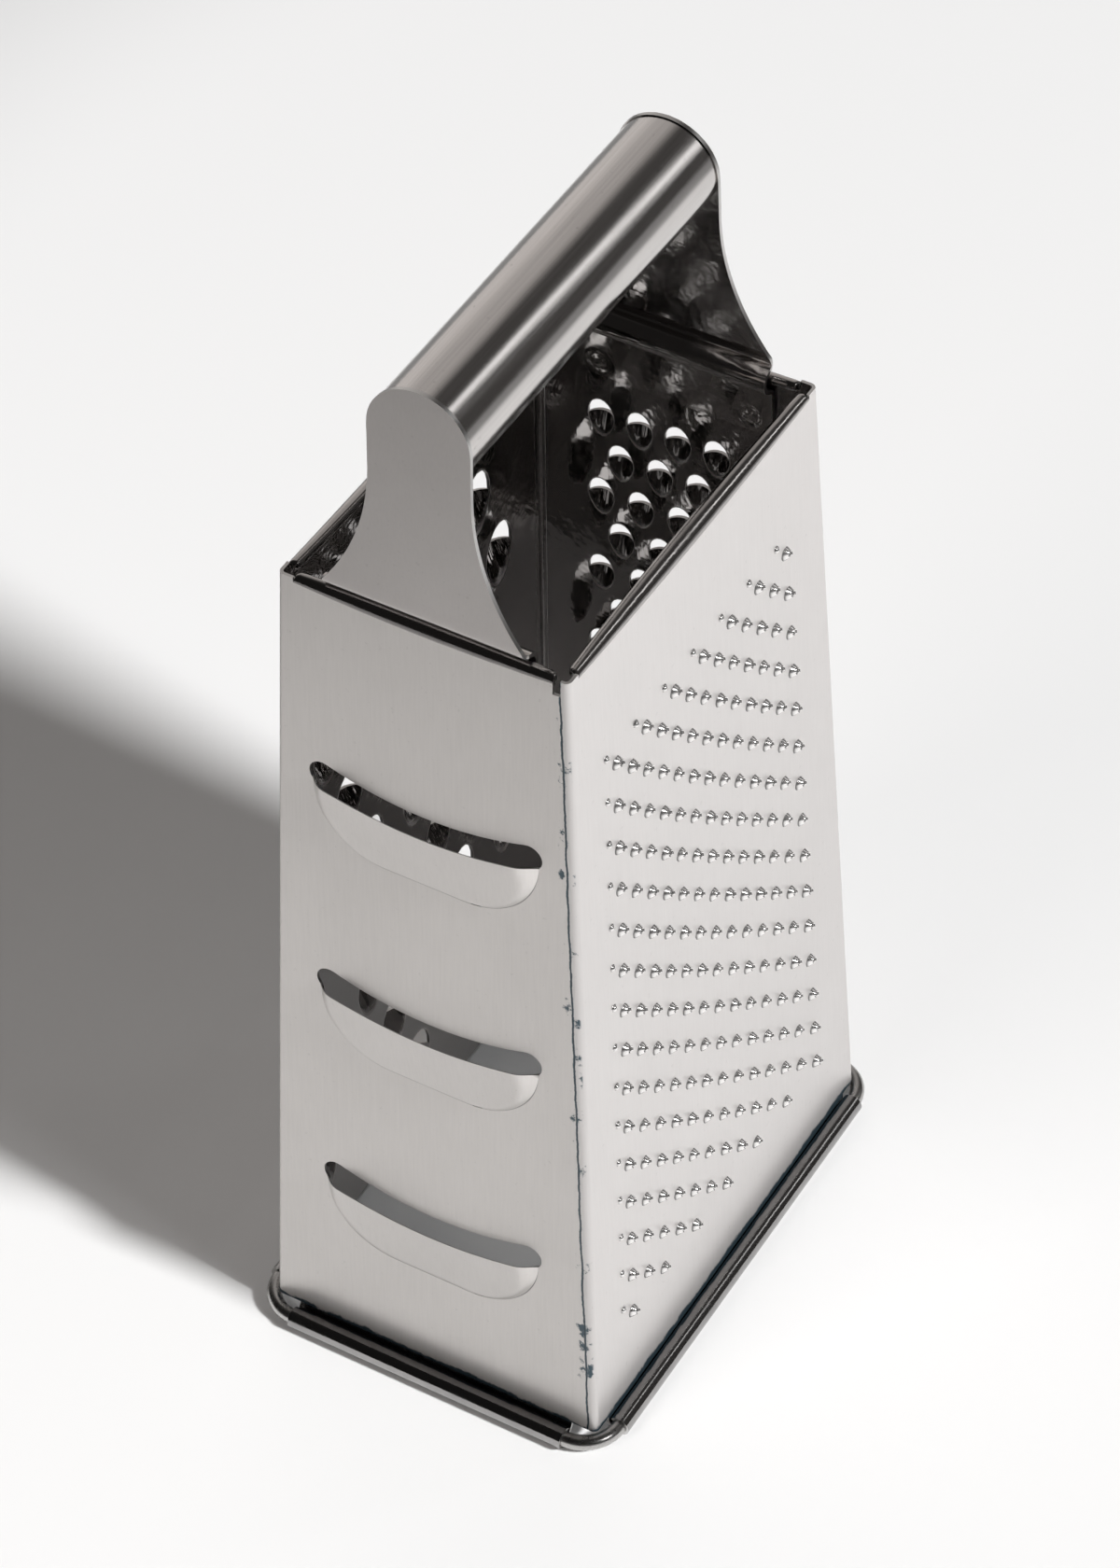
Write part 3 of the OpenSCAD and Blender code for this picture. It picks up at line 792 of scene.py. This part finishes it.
def wall(skin, turn, wing_at, roll_half, roll_z, hem_lines, rims, holes, far_at=None, notch=0.0):
    """The flat of one face, filled round its rims, which are left open for teeth, and its holes."""
    tilt = WIDE_TILT if turn % 180 == 0 else NARROW_TILT
    face = on_face(turn)
    way = -SHEET_T * face.to_3x3().col[2]
    low, high = slope_at(CORNER_FOOT_Z, tilt), slope_at(CORNER_RIM_Z, tilt)
    root = slope_at(roll_z, tilt)
    far_at = far_at or wing_at
    hem_half = hem_lines[-1]
    outline = [(-wing_at(CORNER_FOOT_Z), low), (-roll_half, low)]
    outline += [(u, root) for u in spread_out(roll_half)]
    outline += [(roll_half, low), (far_at(CORNER_FOOT_Z), low)]
    if notch:
        outline += [(far_at(RIM_Z - notch), -notch), (hem_half, -notch)]
    else:
        outline += [(far_at(CORNER_RIM_Z), high), (hem_half, high)]
    outline += [(u, -hem_drop(u, hem_half)) for u in reversed(hem_lines)]
    outline += [(-hem_half, high), (-wing_at(CORNER_RIM_Z), high)]
    loops = [outline] + rims + holes
    points, edges, loop_of = [], [], []
    for number, loop in enumerate(loops):
        start = len(points)
        points += [Vector(p) for p in loop]
        loop_of += [number] * len(loop)
        edges += [(start + i, start + (i + 1) % len(loop)) for i in range(len(loop))]
    found, _, triangles, origins, _, _ = delaunay_2d_cdt(points, edges, [], 1, 1e-5)
    loop_at = [loop_of[origin[0]] for origin in origins]
    numbers = []
    for place, number in zip(found, loop_at):
        numbers.append(skin.point(face @ Vector((place.x, place.y, 0)), way, 0 < number <= len(rims)))
    for triangle in triangles:
        around = {loop_at[i] for i in triangle}
        middle = sum((found[i] for i in triangle), Vector((0, 0))) / 3
        if len(around) == 1 and max(around) > 0 and is_inside(middle, loops[max(around)]):
            continue
        skin.faces.append([numbers[i] for i in triangle])


def rims_of(outline, size, places):
    return [[(u + x * size[0], v + y * size[1]) for x, y in outline] for u, v in places]


# %% [markdown]
# ## Slicing slots and their lips
# A slicing slot is cut along a curve, and the metal below it is pressed outward into a ramp. The
# ramp's top edge, ground sharp, is the blade. The press leaves a crease along the left side and
# the bottom, and at its right end the sheet has torn a little. The lip is drawn as rows between
# its crease and its cutting edge, so that both keep their exact curve.

# %% Slots
SLOT_R, SLOT_H, SLOT_SPAN = 65.0, 5.4, 41.6
SLOT_STARTS = [46.6, 97.2, 147.8]
SLOT_TOP_STEPS, SLOT_END_STEPS = 30, 9
LIP_DROP, LIP_CORNER_R, LIP_SLOPE, LIP_SIDE, LIP_STEP = 13.4, 14.9, 0.17, 0.9, 0.35
SLOT_END_A = asin(SLOT_SPAN / 2 / SLOT_R)
TIP_TURN = radians(60)
LIP_HALF = SLOT_R * sin(SLOT_END_A) + SLOT_H / 2 * cos(SLOT_END_A - TIP_TURN)
TIP_V = SLOT_R * (1 - cos(SLOT_END_A)) + SLOT_H / 2 * sin(SLOT_END_A - TIP_TURN)
TIP_A = atan2(LIP_HALF, SLOT_R - TIP_V)
TIP_R = hypot(LIP_HALF, SLOT_R - TIP_V)
LIP_CORNER_U, LIP_CORNER_V = LIP_HALF - LIP_CORNER_R, LIP_CORNER_R - LIP_DROP
LIP_COLUMNS = 60
LIP_ROWS = [0, 0.012, 0.025, 0.045, 0.08, 0.14, 0.24, 0.36, 0.5, 0.64, 0.78, 0.9, 1]
GROUND_FROM, GROUND_AWAY = 0.78, 0.7
FOLD_ROWS, TEAR_ROWS, TEAR_COLUMNS = LIP_ROWS[1:3], (1, 2), (39, 40)
print("a lip is", round(2 * LIP_HALF, 1), "mm wide and", LIP_DROP, "mm tall")


def lip_rim():
    """The crease of a lip as evenly spaced points, from its left tip down and round to the right."""
    side, bend, flat = TIP_V - LIP_CORNER_V, LIP_CORNER_R * pi / 2, 2 * LIP_CORNER_U
    total = 2 * side + 2 * bend + flat
    points = []
    for k in range(LIP_COLUMNS + 1):
        run = total * k / LIP_COLUMNS
        mirrored = run > total / 2
        run = min(run, total - run)
        if run < side:
            place = (-LIP_HALF, TIP_V - run)
        elif run < side + bend:
            a = pi + (run - side) / LIP_CORNER_R
            place = (-LIP_CORNER_U + LIP_CORNER_R * cos(a), LIP_CORNER_V + LIP_CORNER_R * sin(a))
        else:
            place = (-LIP_CORNER_U + run - side - bend, -LIP_DROP)
        points.append((-place[0] if mirrored else place[0], place[1]))
    return points


def lip_height(u, v):
    """How far the ramp stands out: the lower of its leaning side and its top, softly joined."""
    inward = LIP_CORNER_R - hypot(max(abs(u) - LIP_CORNER_U, 0), max(LIP_CORNER_V - v, 0))
    side = max(inward, 0) / LIP_SIDE
    top = LIP_SLOPE * (v + LIP_DROP) + LIP_STEP
    return (max(side, 1e-6) ** -4 + max(top, 1e-6) ** -4) ** -0.25


def slot_outline():
    """The slot's upper edge, from its right tip over to its left tip."""
    end = degrees(SLOT_END_A)
    centre = (SLOT_R * sin(SLOT_END_A), SLOT_R * (1 - cos(SLOT_END_A)))
    right_end = arc(centre, SLOT_H / 2, end - degrees(TIP_TURN), end + 90, SLOT_END_STEPS)
    top = arc((0, SLOT_R), SLOT_R - SLOT_H / 2, 270 + end, 270 - end, SLOT_TOP_STEPS)
    left_end = [(-u, v) for u, v in reversed(right_end)]
    return right_end[1:] + top[1:-1] + left_end[:-1]


def lip(skin, turn, s):
    """One lip, s below the rim. Between its crease and its edge the rows blend from one to the other."""
    face = on_face(turn)
    out = face.to_3x3().col[2]
    rows = []
    for share in LIP_ROWS:
        thick = SHEET_T * (1 - GROUND_AWAY * max(0, (share - GROUND_FROM) / (1 - GROUND_FROM)))
        row = []
        for k, (u0, v0) in enumerate(lip_rim()):
            a = TIP_A * (2 * k / LIP_COLUMNS - 1)
            r = SLOT_R + (TIP_R - SLOT_R) * abs(a / TIP_A) ** 12
            u1, v1 = r * sin(a), SLOT_R - r * cos(a)
            u, v = u0 + (u1 - u0) * share, v0 + (v1 - v0) * share
            height = 0 if share == 0 or k in (0, LIP_COLUMNS) else lip_height(u, v)
            place = face @ Vector((u, v - s, height))
            # The fold rows are marked as a crease: painted shade outside, a painted glint inside
            row.append(skin.point(place, -thick * out, crease=float(share in FOLD_ROWS)))
        rows.append(row)
    skin.grid(rows, skip={(i, k) for i in TEAR_ROWS for k in TEAR_COLUMNS})


# %% [markdown]
# ## A whole sheet
# Both sheets are bent alike, so one function draws them, and the second is the first turned by
# half a turn. What is punched in each face is given to it.

# %% One bent sheet


def bent_sheet(name, turn, wide_rims, narrow_rims, lips, teeth, materials):
    """The rims are left open in the wide and the narrow face, and the teeth are joined to them."""
    slots = [[(u, v - s) for u, v in lip_rim() + slot_outline()] for s in lips]
    skin = Skin()
    edge_strip(skin)
    corner_bend(skin, -1, -1, 180, 270, NARROW_TILT, WIDE_TILT)
    corner_bend(skin, 1, -1, 270, 360, WIDE_TILT, NARROW_TILT)
    wide_z = foot_roll(skin, 0, FOOT_D / 2, WIDE_TILT, RING_Y, ROLL_HALF_X)
    narrow_z = foot_roll(skin, 90, FOOT_W / 2, NARROW_TILT, RING_X, ROLL_HALF_Y)
    wide_lines = rim_roll(skin, 0, RIM_W / 2 - HEM_STOP)
    narrow_lines = rim_roll(skin, 90, RIM_D / 2 - HEM_STOP)
    wall(skin, 0, lambda z: half_w(z) - CORNER_R, ROLL_HALF_X, wide_z, wide_lines, wide_rims, [])
    wall(skin, 90, lambda z: half_d(z) - CORNER_R, ROLL_HALF_Y, narrow_z, narrow_lines, narrow_rims, slots,
         far_at=lambda z: half_d(z) - CORNER_R - SEAM_LAP - SEAM_GAP, notch=NOTCH_H)
    for s in lips:
        lip(skin, 90, s)
    points, faces, sides = skin.close()
    about = Matrix.Rotation(radians(turn), 3, "Z")
    points = [about @ p for p in points]
    return piece_from(name, points, faces, sides, materials, teeth, skin.painted_crease_marks * 2)

# %% [markdown]
# ## Steel
# All pieces are stainless steel, but each was finished in its own way: the sheet is satin outside
# and bright inside, the handle tube is polished lengthwise, the uprights are dull. One shader group
# holds what they share: fine grain along one direction, cloudy smudges left by hands, dark specks,
# a blue stain along the seams, painted shade or a painted glint at a crease, and a band of painted
# shade in the stain's colour along the foot. It could be done with images of worn metal, but grain
# that is made from the object's own coordinates runs on without a seam. The outer sides are only
# part metal: their fine scratches scatter light as paint does, which keeps them pale and even.

# %% The steel finish
FINISH = {"Tone": (0.7, 0.7, 0.7, 1), "Base Roughness": 0.35, "Grain Direction": (1, 1, 0.02),
          "Grain Fineness": 2500, "Grain Strength": 0.1, "Smudge Size": 40, "Smudge Strength": 0.1,
          "Wear": 0.1, "Crease": 0, "Crease Tone": 1, "Crease Roughness": 0, "Seam Stain": 0,
          "Waviness": 2}
SPECKS, SPECKS_FROM, SPECKS_TO = 900, 0.68, 0.78
GRAIN_ROUGHENS, SMUDGE_SMOOTHS = 0.6, -0.7
STAIN_AND_SHADE_COLOUR, PATCHES, PATCHES_FROM, PATCHES_TO = (0.05, 0.08, 0.10, 1), 130, 0.56, 0.62
NARROW_FACE, NARROW_FACE_EDGE = -0.2 * MM, -0.5 * MM
SEAM_LINE, SEAM_LINE_EDGE, SEAM_LINE_STRAY = 0.12 * MM, 0.3 * MM, 1.2 * MM
PATCH_REACH, PATCH_EDGE, PATCH_STRAY = 1.8 * MM, 2.6 * MM, -8 * MM
# The band of painted shade along the foot
FOOT_SHADE_Z, FOOT_SHADE_EDGE, FOOT_SHADE_STRAY = 4.2 * MM, 4.9 * MM, -4 * MM

finish = bpy.data.node_groups.new("steel finish", "ShaderNodeTree")
for label, value in FINISH.items():
    kind = "Float"
    if isinstance(value, tuple):
        kind = "Color" if len(value) == 4 else "Vector"
    finish.interface.new_socket(label, in_out="INPUT", socket_type="NodeSocket" + kind).default_value = value
for label, kind in (("Base Color", "Color"), ("Roughness", "Float"), ("Height", "Float")):
    finish.interface.new_socket(label, in_out="OUTPUT", socket_type="NodeSocket" + kind)


def build_finish(tree):
    plus, minus, times = sums(tree)
    over, larger = partial(worked, tree, "DIVIDE"), partial(worked, tree, "MAXIMUM")
    smooth, unsigned = partial(rising, tree), partial(worked, tree, "ABSOLUTE")
    given = add_node(tree, "NodeGroupInput").outputs
    spot = add_node(tree, "ShaderNodeTexCoord").outputs["Object"]

    def noise(vector, scale, detail, roughness=0.5):
        feeds = {"Vector": vector, "Scale": scale, "Detail": detail, "Roughness": roughness}
        return add_node(tree, "ShaderNodeTexNoise", feeds).outputs["Fac"]

    stretched = add_node(tree, "ShaderNodeVectorMath", {
        "Vector": spot, "Vector_001": given["Grain Direction"]}, operation="MULTIPLY").outputs[0]
    grain = noise(stretched, given["Grain Fineness"], detail=3)
    smudge = noise(spot, given["Smudge Size"], detail=4, roughness=0.6)
    specks = add_node(tree, "ShaderNodeMapRange", {
        "Value": noise(spot, SPECKS, detail=2), "From Min": SPECKS_FROM, "From Max": SPECKS_TO})
    grain_part = times(minus(grain, 0.5), given["Grain Strength"])
    smudge_part = times(minus(smudge, 0.5), given["Smudge Strength"])
    darkened = times(specks.outputs["Result"], given["Wear"])
    light = minus(plus(1, plus(grain_part, smudge_part)), darkened)
    # A crease, where the metal is torn or bent sharply, is rougher, and its tone is painted:
    # darker as painted shade, or lighter as a painted glint
    light = times(light, minus(1, times(given["Crease"], minus(1, given["Crease Tone"]))))

    # The blue stain follows the seams as a thin line with patches. In the stain's colour, painted
    # shade fills the crease at the foot
    x, y, z = add_node(tree, "ShaderNodeSeparateXYZ", {"Vector": spot}).outputs
    wide = minus(FOOT_W / 2 * MM, times(z, NARROW_SLOPE))
    deep = minus(FOOT_D / 2 * MM, times(z, WIDE_SLOPE))
    from_seam = times(minus(2, unsigned(plus(over(x, wide), over(y, deep)))), deep)
    on_narrow = smooth(minus(unsigned(x), wide), NARROW_FACE_EDGE, NARROW_FACE)
    patches = noise(spot, PATCHES, detail=5, roughness=0.7)
    ragged = plus(patches, -0.5)
    from_lap = plus(from_seam, -(CORNER_R + SEAM_LAP + SEAM_GAP / 2) * MM)
    from_line = unsigned(plus(from_lap, times(ragged, SEAM_LINE_STRAY)))
    at_line = smooth(from_line, SEAM_LINE_EDGE, SEAM_LINE)
    near_seam = smooth(plus(from_seam, times(ragged, PATCH_STRAY)), PATCH_EDGE, PATCH_REACH)
    in_patch = times(near_seam, smooth(patches, PATCHES_FROM, PATCHES_TO))
    at_seam = times(larger(at_line, in_patch), on_narrow)
    # Painted shade: the foot's crease below a ragged line is darkened to the stain's colour
    painted_foot_shade = smooth(plus(z, times(ragged, FOOT_SHADE_STRAY)), FOOT_SHADE_EDGE, FOOT_SHADE_Z)
    stain_and_painted_shade = times(larger(at_seam, painted_foot_shade), given["Seam Stain"])

    tinted = add_node(tree, "ShaderNodeVectorMath", {
        "Vector": given["Tone"], "Scale": light}, operation="SCALE")
    stain_and_shade_mix = add_node(tree, "ShaderNodeMix", {
        "Factor": stain_and_painted_shade, "A_Color": tinted.outputs[0], "B_Color": STAIN_AND_SHADE_COLOUR}, data_type="RGBA")
    rough = plus(plus(given["Base Roughness"], times(grain_part, GRAIN_ROUGHENS)),
                 times(smudge_part, SMUDGE_SMOOTHS))
    add_node(tree, "NodeGroupOutput", {
        "Base Color": next(s for s in stain_and_shade_mix.outputs if s.identifier == "Result_Color"),
        "Roughness": plus(rough, times(given["Crease"], given["Crease Roughness"])),
        "Height": plus(grain, times(smudge, given["Waviness"]))})


build_finish(finish)
print("the steel finish has", len(finish.nodes), "nodes")

# %% The steels


def steel(name, tone, rough, bump, metal=1.0, spread=0.0, **looks):
    """A material with its own values for the finish. looks names the group's other inputs."""
    material = bpy.data.materials.new(name)
    material.use_nodes = True
    tree = material.node_tree
    values = {**FINISH, "Tone": (*tone, 1), "Base Roughness": rough}
    values.update({label.replace("_", " ").title(): value for label, value in looks.items()})
    # With a painted crease light, the crease marks darken the tone as painted shade or lighten it as a
    # painted glint
    if "crease_tone" in looks:
        values["Crease"] = add_node(tree, "ShaderNodeAttribute", attribute_name="crease").outputs["Fac"]
    group = add_node(tree, "ShaderNodeGroup", node_tree=finish)
    feed(group, values)
    relief = add_node(tree, "ShaderNodeBump", {
        "Strength": 1, "Distance": bump * MM, "Height": group.outputs["Height"]})
    shader = tree.nodes["Principled BSDF"]
    feed(shader, {"Metallic": metal, "Base Color": group.outputs["Base Color"],
                  "Roughness": group.outputs["Roughness"], "Normal": relief.outputs["Normal"]})
    if spread:
        tangent = add_node(tree, "ShaderNodeTangent", direction_type="RADIAL", axis="Z")
        feed(shader, {"Anisotropic": spread, "Tangent": tangent.outputs["Tangent"]})
    return material


# A painted crease light below 1 is painted shade; above 1, on the bright inner side, it is a painted glint
satin_outside = steel("satin sheet outside", (0.58, 0.56, 0.55), 0.34, bump=0.004, metal=0.6,
                      spread=0.5, smudge_strength=0.06, seam_stain=1)
brushed_outside = steel("brushed sheet outside", (0.64, 0.615, 0.595), 0.34, bump=0.003, metal=0.5,
                        spread=0.5, seam_stain=1, crease_tone=0.35, waviness=12)
bright_inside = steel("bright sheet inside", (0.43, 0.41, 0.40), 0.06, bump=0.003, grain_strength=0.04,
                      smudge_size=60, crease_tone=1.6, crease_roughness=0.3, waviness=60)
punched_steel = steel("punched steel", (0.92, 0.90, 0.89), 0.16, bump=0.01, metal=0.9,
                      grain_strength=0.06, wear=0.2, crease_tone=0.08, crease_roughness=0.2)
sheared_edge = steel("sheared edge", (0.62, 0.61, 0.60), 0.3, bump=0.006, grain_direction=(1, 1, 1),
                     grain_fineness=6000)
wire_steel = steel("drawn wire", (0.5, 0.49, 0.48), 0.28, bump=0.006, grain_direction=(1, 1, 1),
                   grain_fineness=900)
upright_steel = steel("dull upright", (0.52, 0.495, 0.48), 0.40, bump=0.006, grain_direction=(1, 1, 0.3))
upright_inside = steel("bright upright inside", (0.50, 0.475, 0.46), 0.1, bump=0.003,
                       grain_direction=(1, 0.1, 1), grain_strength=0.06, smudge_size=60,
                       smudge_strength=0.4, waviness=60)
rolled_edge = steel("rolled edge", (0.46, 0.44, 0.43), 0.13, bump=0.008, grain_fineness=1500,
                    smudge_size=130, smudge_strength=0.6, seam_stain=0.25, waviness=12)
tube_steel = steel("tube polished lengthwise", (0.66, 0.635, 0.62), 0.17, bump=0.006,
                   grain_direction=(0.02, 1, 1), grain_fineness=1800, grain_strength=0.25, wear=0.2)
print("materials:", [m.name for m in bpy.data.materials])

# %% [markdown]
# ## The two sheets
# Each field is punched with its own tooth, size and spread of heights, and is then joined to the
# bent sheet. Size is the width, length and height of a tooth. The real sheet is punched flat and
# bent afterwards, but the order makes no difference here, since the faces stay flat.

# %% The two sheets
CROWN_SIZE, PIP_SIZE = (2.9, 2.9, 1.3), (1.6, 1.6, 0.75)
MEDIUM_SIZE, COARSE_SIZE = (5.4, 4.6, 1.8), (9, 8, 3)
fine_teeth = punched(fine_places, FINE, crown, CROWN_SIZE, 0.25, 3, punched_steel, bright_inside, PUNCHED)
pips = punched(pip_places, FINE, dimple, PIP_SIZE, 0.3, 5, punched_steel, bright_inside, PUNCHED)
medium_teeth = punched(medium_places, MEDIUM, hood, MEDIUM_SIZE, 0.06, 7, satin_outside, bright_inside)
fine_medium = bent_sheet(
    "fine_medium_sheet_bent", turn=0,
    wide_rims=rims_of(crown_outline, CROWN_SIZE, fine_places) + rims_of(crown_outline, PIP_SIZE, pip_places),
    narrow_rims=rims_of(hood_outline, MEDIUM_SIZE, medium_places),
    lips=[], teeth=[fine_teeth, pips, medium_teeth],
    materials=[satin_outside, bright_inside, sheared_edge, rolled_edge, punched_steel])
coarse_teeth = punched(coarse_places, COARSE, hood, COARSE_SIZE, 0.05, 11, brushed_outside, bright_inside)
slicer_coarse = bent_sheet(
    "slicer_coarse_sheet_bent", turn=180,
    wide_rims=rims_of(hood_outline, COARSE_SIZE, coarse_places),
    narrow_rims=[], lips=SLOT_STARTS, teeth=[coarse_teeth],
    materials=[brushed_outside, bright_inside, sheared_edge, rolled_edge])
for pattern in (crown, dimple, hood):
    bpy.data.objects.remove(pattern)

# %% [markdown]
# ## Uprights
# Each upright is one stamping. Its plate stands in the plane of the narrow face, narrows to a
# waist and ends in a round top over the tube's end. At the rim the same plate bends inward,
# wraps over the rolled edge and comes down inside the wall, where two spot welds hold its tab.
# It could be a flat outline with bend modifiers, but the seat bends both ways and the outline
# widens along it. So both sides of the plate are worked out row by row, from the top to the tab.

# %% Uprights
PLATE_T, TUBE_Z, TOP_R = 0.8, 229.0, 9.9
FOOT_HALF, WAIST_DROP, TAB_DROP, TAB_CORNER_R = 20.2, 9.0, 15.5, 4.0
SEAT_GAP, HEM_TO_PLATE = 0.1, 0.9
WRAP_R = HEM_R + HEM_TO_PLATE + PLATE_T / 2
SHOULDER_R = HEM_R - PLATE_T / 2
WRAP_END = -145
TAB_BEND_R = 1.0
WELD_U, WELD_V, WELD_R, WELD_RING_W, WELD_POINT_W = 15.4, -12.2, 1.7, 0.45, 0.5
WELD_RING_DEPTH, WELD_POINT_DEPTH = 0.16, 0.1
WORN_EDGE = 0.12
TUBE_UP = (TUBE_Z - RIM_Z) / cos(NARROW_TILT)
WAIST_V = TUBE_UP - WAIST_DROP
PLATE_FOOT_V = WRAP_R - HEM_R
WAIST_R = ((WAIST_V - PLATE_FOOT_V) ** 2 + (FOOT_HALF - TOP_R) ** 2) / (FOOT_HALF - TOP_R) / 2
TOP_STEPS, WAIST_STEPS, SHOULDER_STEPS, WRAP_STEPS, TAB_BEND_STEPS, TAB_STEPS = 12, 30, 8, 20, 6, 24
ACROSS = 64


def upright_lines(side):
    """Points (up, out, half width) down one side of the stamping: 1 is the outer side, -1 the inner."""
    skin = side * PLATE_T / 2
    line = []
    for k in range(TOP_STEPS + 1):
        a = pi / 2 * (1 - k / TOP_STEPS)
        line.append((TUBE_UP + TOP_R * sin(a), skin - PLATE_T / 2, TOP_R * cos(a)))
    low = WRAP_R - HEM_R + SHOULDER_R
    for k in range(WAIST_STEPS + 1):
        v = WAIST_V + (low - WAIST_V) * k / WAIST_STEPS
        line.append((v, skin - PLATE_T / 2, TOP_R + WAIST_R - sqrt(WAIST_R ** 2 - (WAIST_V - v) ** 2)))
    foot = line[-1][2]
    land, end = radians(WRAP_END + 180), radians(WRAP_END)
    leave = (-HEM_R + WRAP_R * cos(end), -HEM_R + WRAP_R * sin(end))
    tab_out = -SHEET_T - SEAT_GAP - PLATE_T / 2
    straight = (tab_out - TAB_BEND_R * (1 - sin(land)) - leave[1]) / -cos(end)
    tab_bend = (leave[0] + straight * sin(end) - TAB_BEND_R * cos(land),
                leave[1] - straight * cos(end) - TAB_BEND_R * sin(land))
    bends = arc((low, -HEM_R), SHOULDER_R + skin, 90, 180, SHOULDER_STEPS)[1:]
    bends += arc((-HEM_R, -HEM_R), WRAP_R - skin, 0, WRAP_END, WRAP_STEPS)[1:]
    bends += arc(tab_bend, TAB_BEND_R + skin, WRAP_END + 180, 90, TAB_BEND_STEPS)
    for k, (up, out) in enumerate(bends):
        line.append((up, out, foot + (FOOT_HALF - foot) * min(1, k / SHOULDER_STEPS)))
    top = bends[-1][0]
    for k in range(1, TAB_STEPS + 1):
        v = top + (-TAB_DROP - top) * sin(pi / 2 * k / TAB_STEPS)
        past = max(0, TAB_CORNER_R - TAB_DROP - v)
        rounded = sqrt(max(TAB_CORNER_R ** 2 - past ** 2, 0))
        line.append((v, tab_out + skin, FOOT_HALF - TAB_CORNER_R + rounded))
    return line


def weld_dent(u, v):
    """The ring and the point that the spot welder's tip has pressed into the tab."""
    away = hypot(abs(u) - WELD_U, v - WELD_V)
    ring, point = (away - WELD_R) / WELD_RING_W, away / WELD_POINT_W
    return WELD_RING_DEPTH * 2.7 ** -(ring ** 2) + WELD_POINT_DEPTH * 2.7 ** -(point ** 2)


def upright(name, turn):
    outer, inner = upright_lines(1), upright_lines(-1)
    face = on_face(turn)
    turned = face.to_3x3()
    skin = Skin()
    rows = []
    for i, ((up, out, half), (up_in, out_in, _)) in enumerate(zip(outer, inner)):
        row = []
        for k in range(ACROSS + 1):
            u = half * sin(pi / 2 * (2 * k / ACROSS - 1))
            way = Vector((0, up_in - up, out_in - out))
            if i >= len(outer) - TAB_STEPS:
                way.z += weld_dent(u, up)
            row.append(skin.point(face @ Vector((u, up, out)), turned @ way))
        rows.append(row)
    skin.grid(rows)
    points, faces, sides = skin.close()
    piece = piece_from(name, points, faces, sides, [upright_steel, upright_inside, sheared_edge])
    bevel = piece.modifiers.new("worn edges", "BEVEL")
    bevel.width = WORN_EDGE * MM
    bevel.segments = 2
    bevel.limit_method = "ANGLE"
    bevel.angle_limit = radians(60)
    return piece


slicer_upright = upright("slicer_upright_stamped", SLICER)
medium_upright = upright("medium_upright_stamped", MEDIUM)

# %% [markdown]
# ## Putting the pieces in place
# The redrawn sheets and uprights take the place of the CAD solids that they stand for. The wire
# ring and the tube are round in the CAD as well, so those only get their steel.

# %% Each piece in its place
for piece, node, slot in ((fine_medium, "fine_medium_sheet", "satin_sheet"),
                          (slicer_coarse, "slicer_coarse_sheet", "brushed_sheet"),
                          (slicer_upright, "slicer_upright", "upright_steel"),
                          (medium_upright, "medium_upright", "upright_steel")):
    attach(piece, "root")
    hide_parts(node)
for node, material in (("base_ring", wire_steel), ("handle_tube", tube_steel)):
    nodes[node].data.materials.clear()
    nodes[node].data.materials.append(material)

# %% Sizes, then the end
def corners(box):
    return [[float(c) for c in corner] for corner in box]
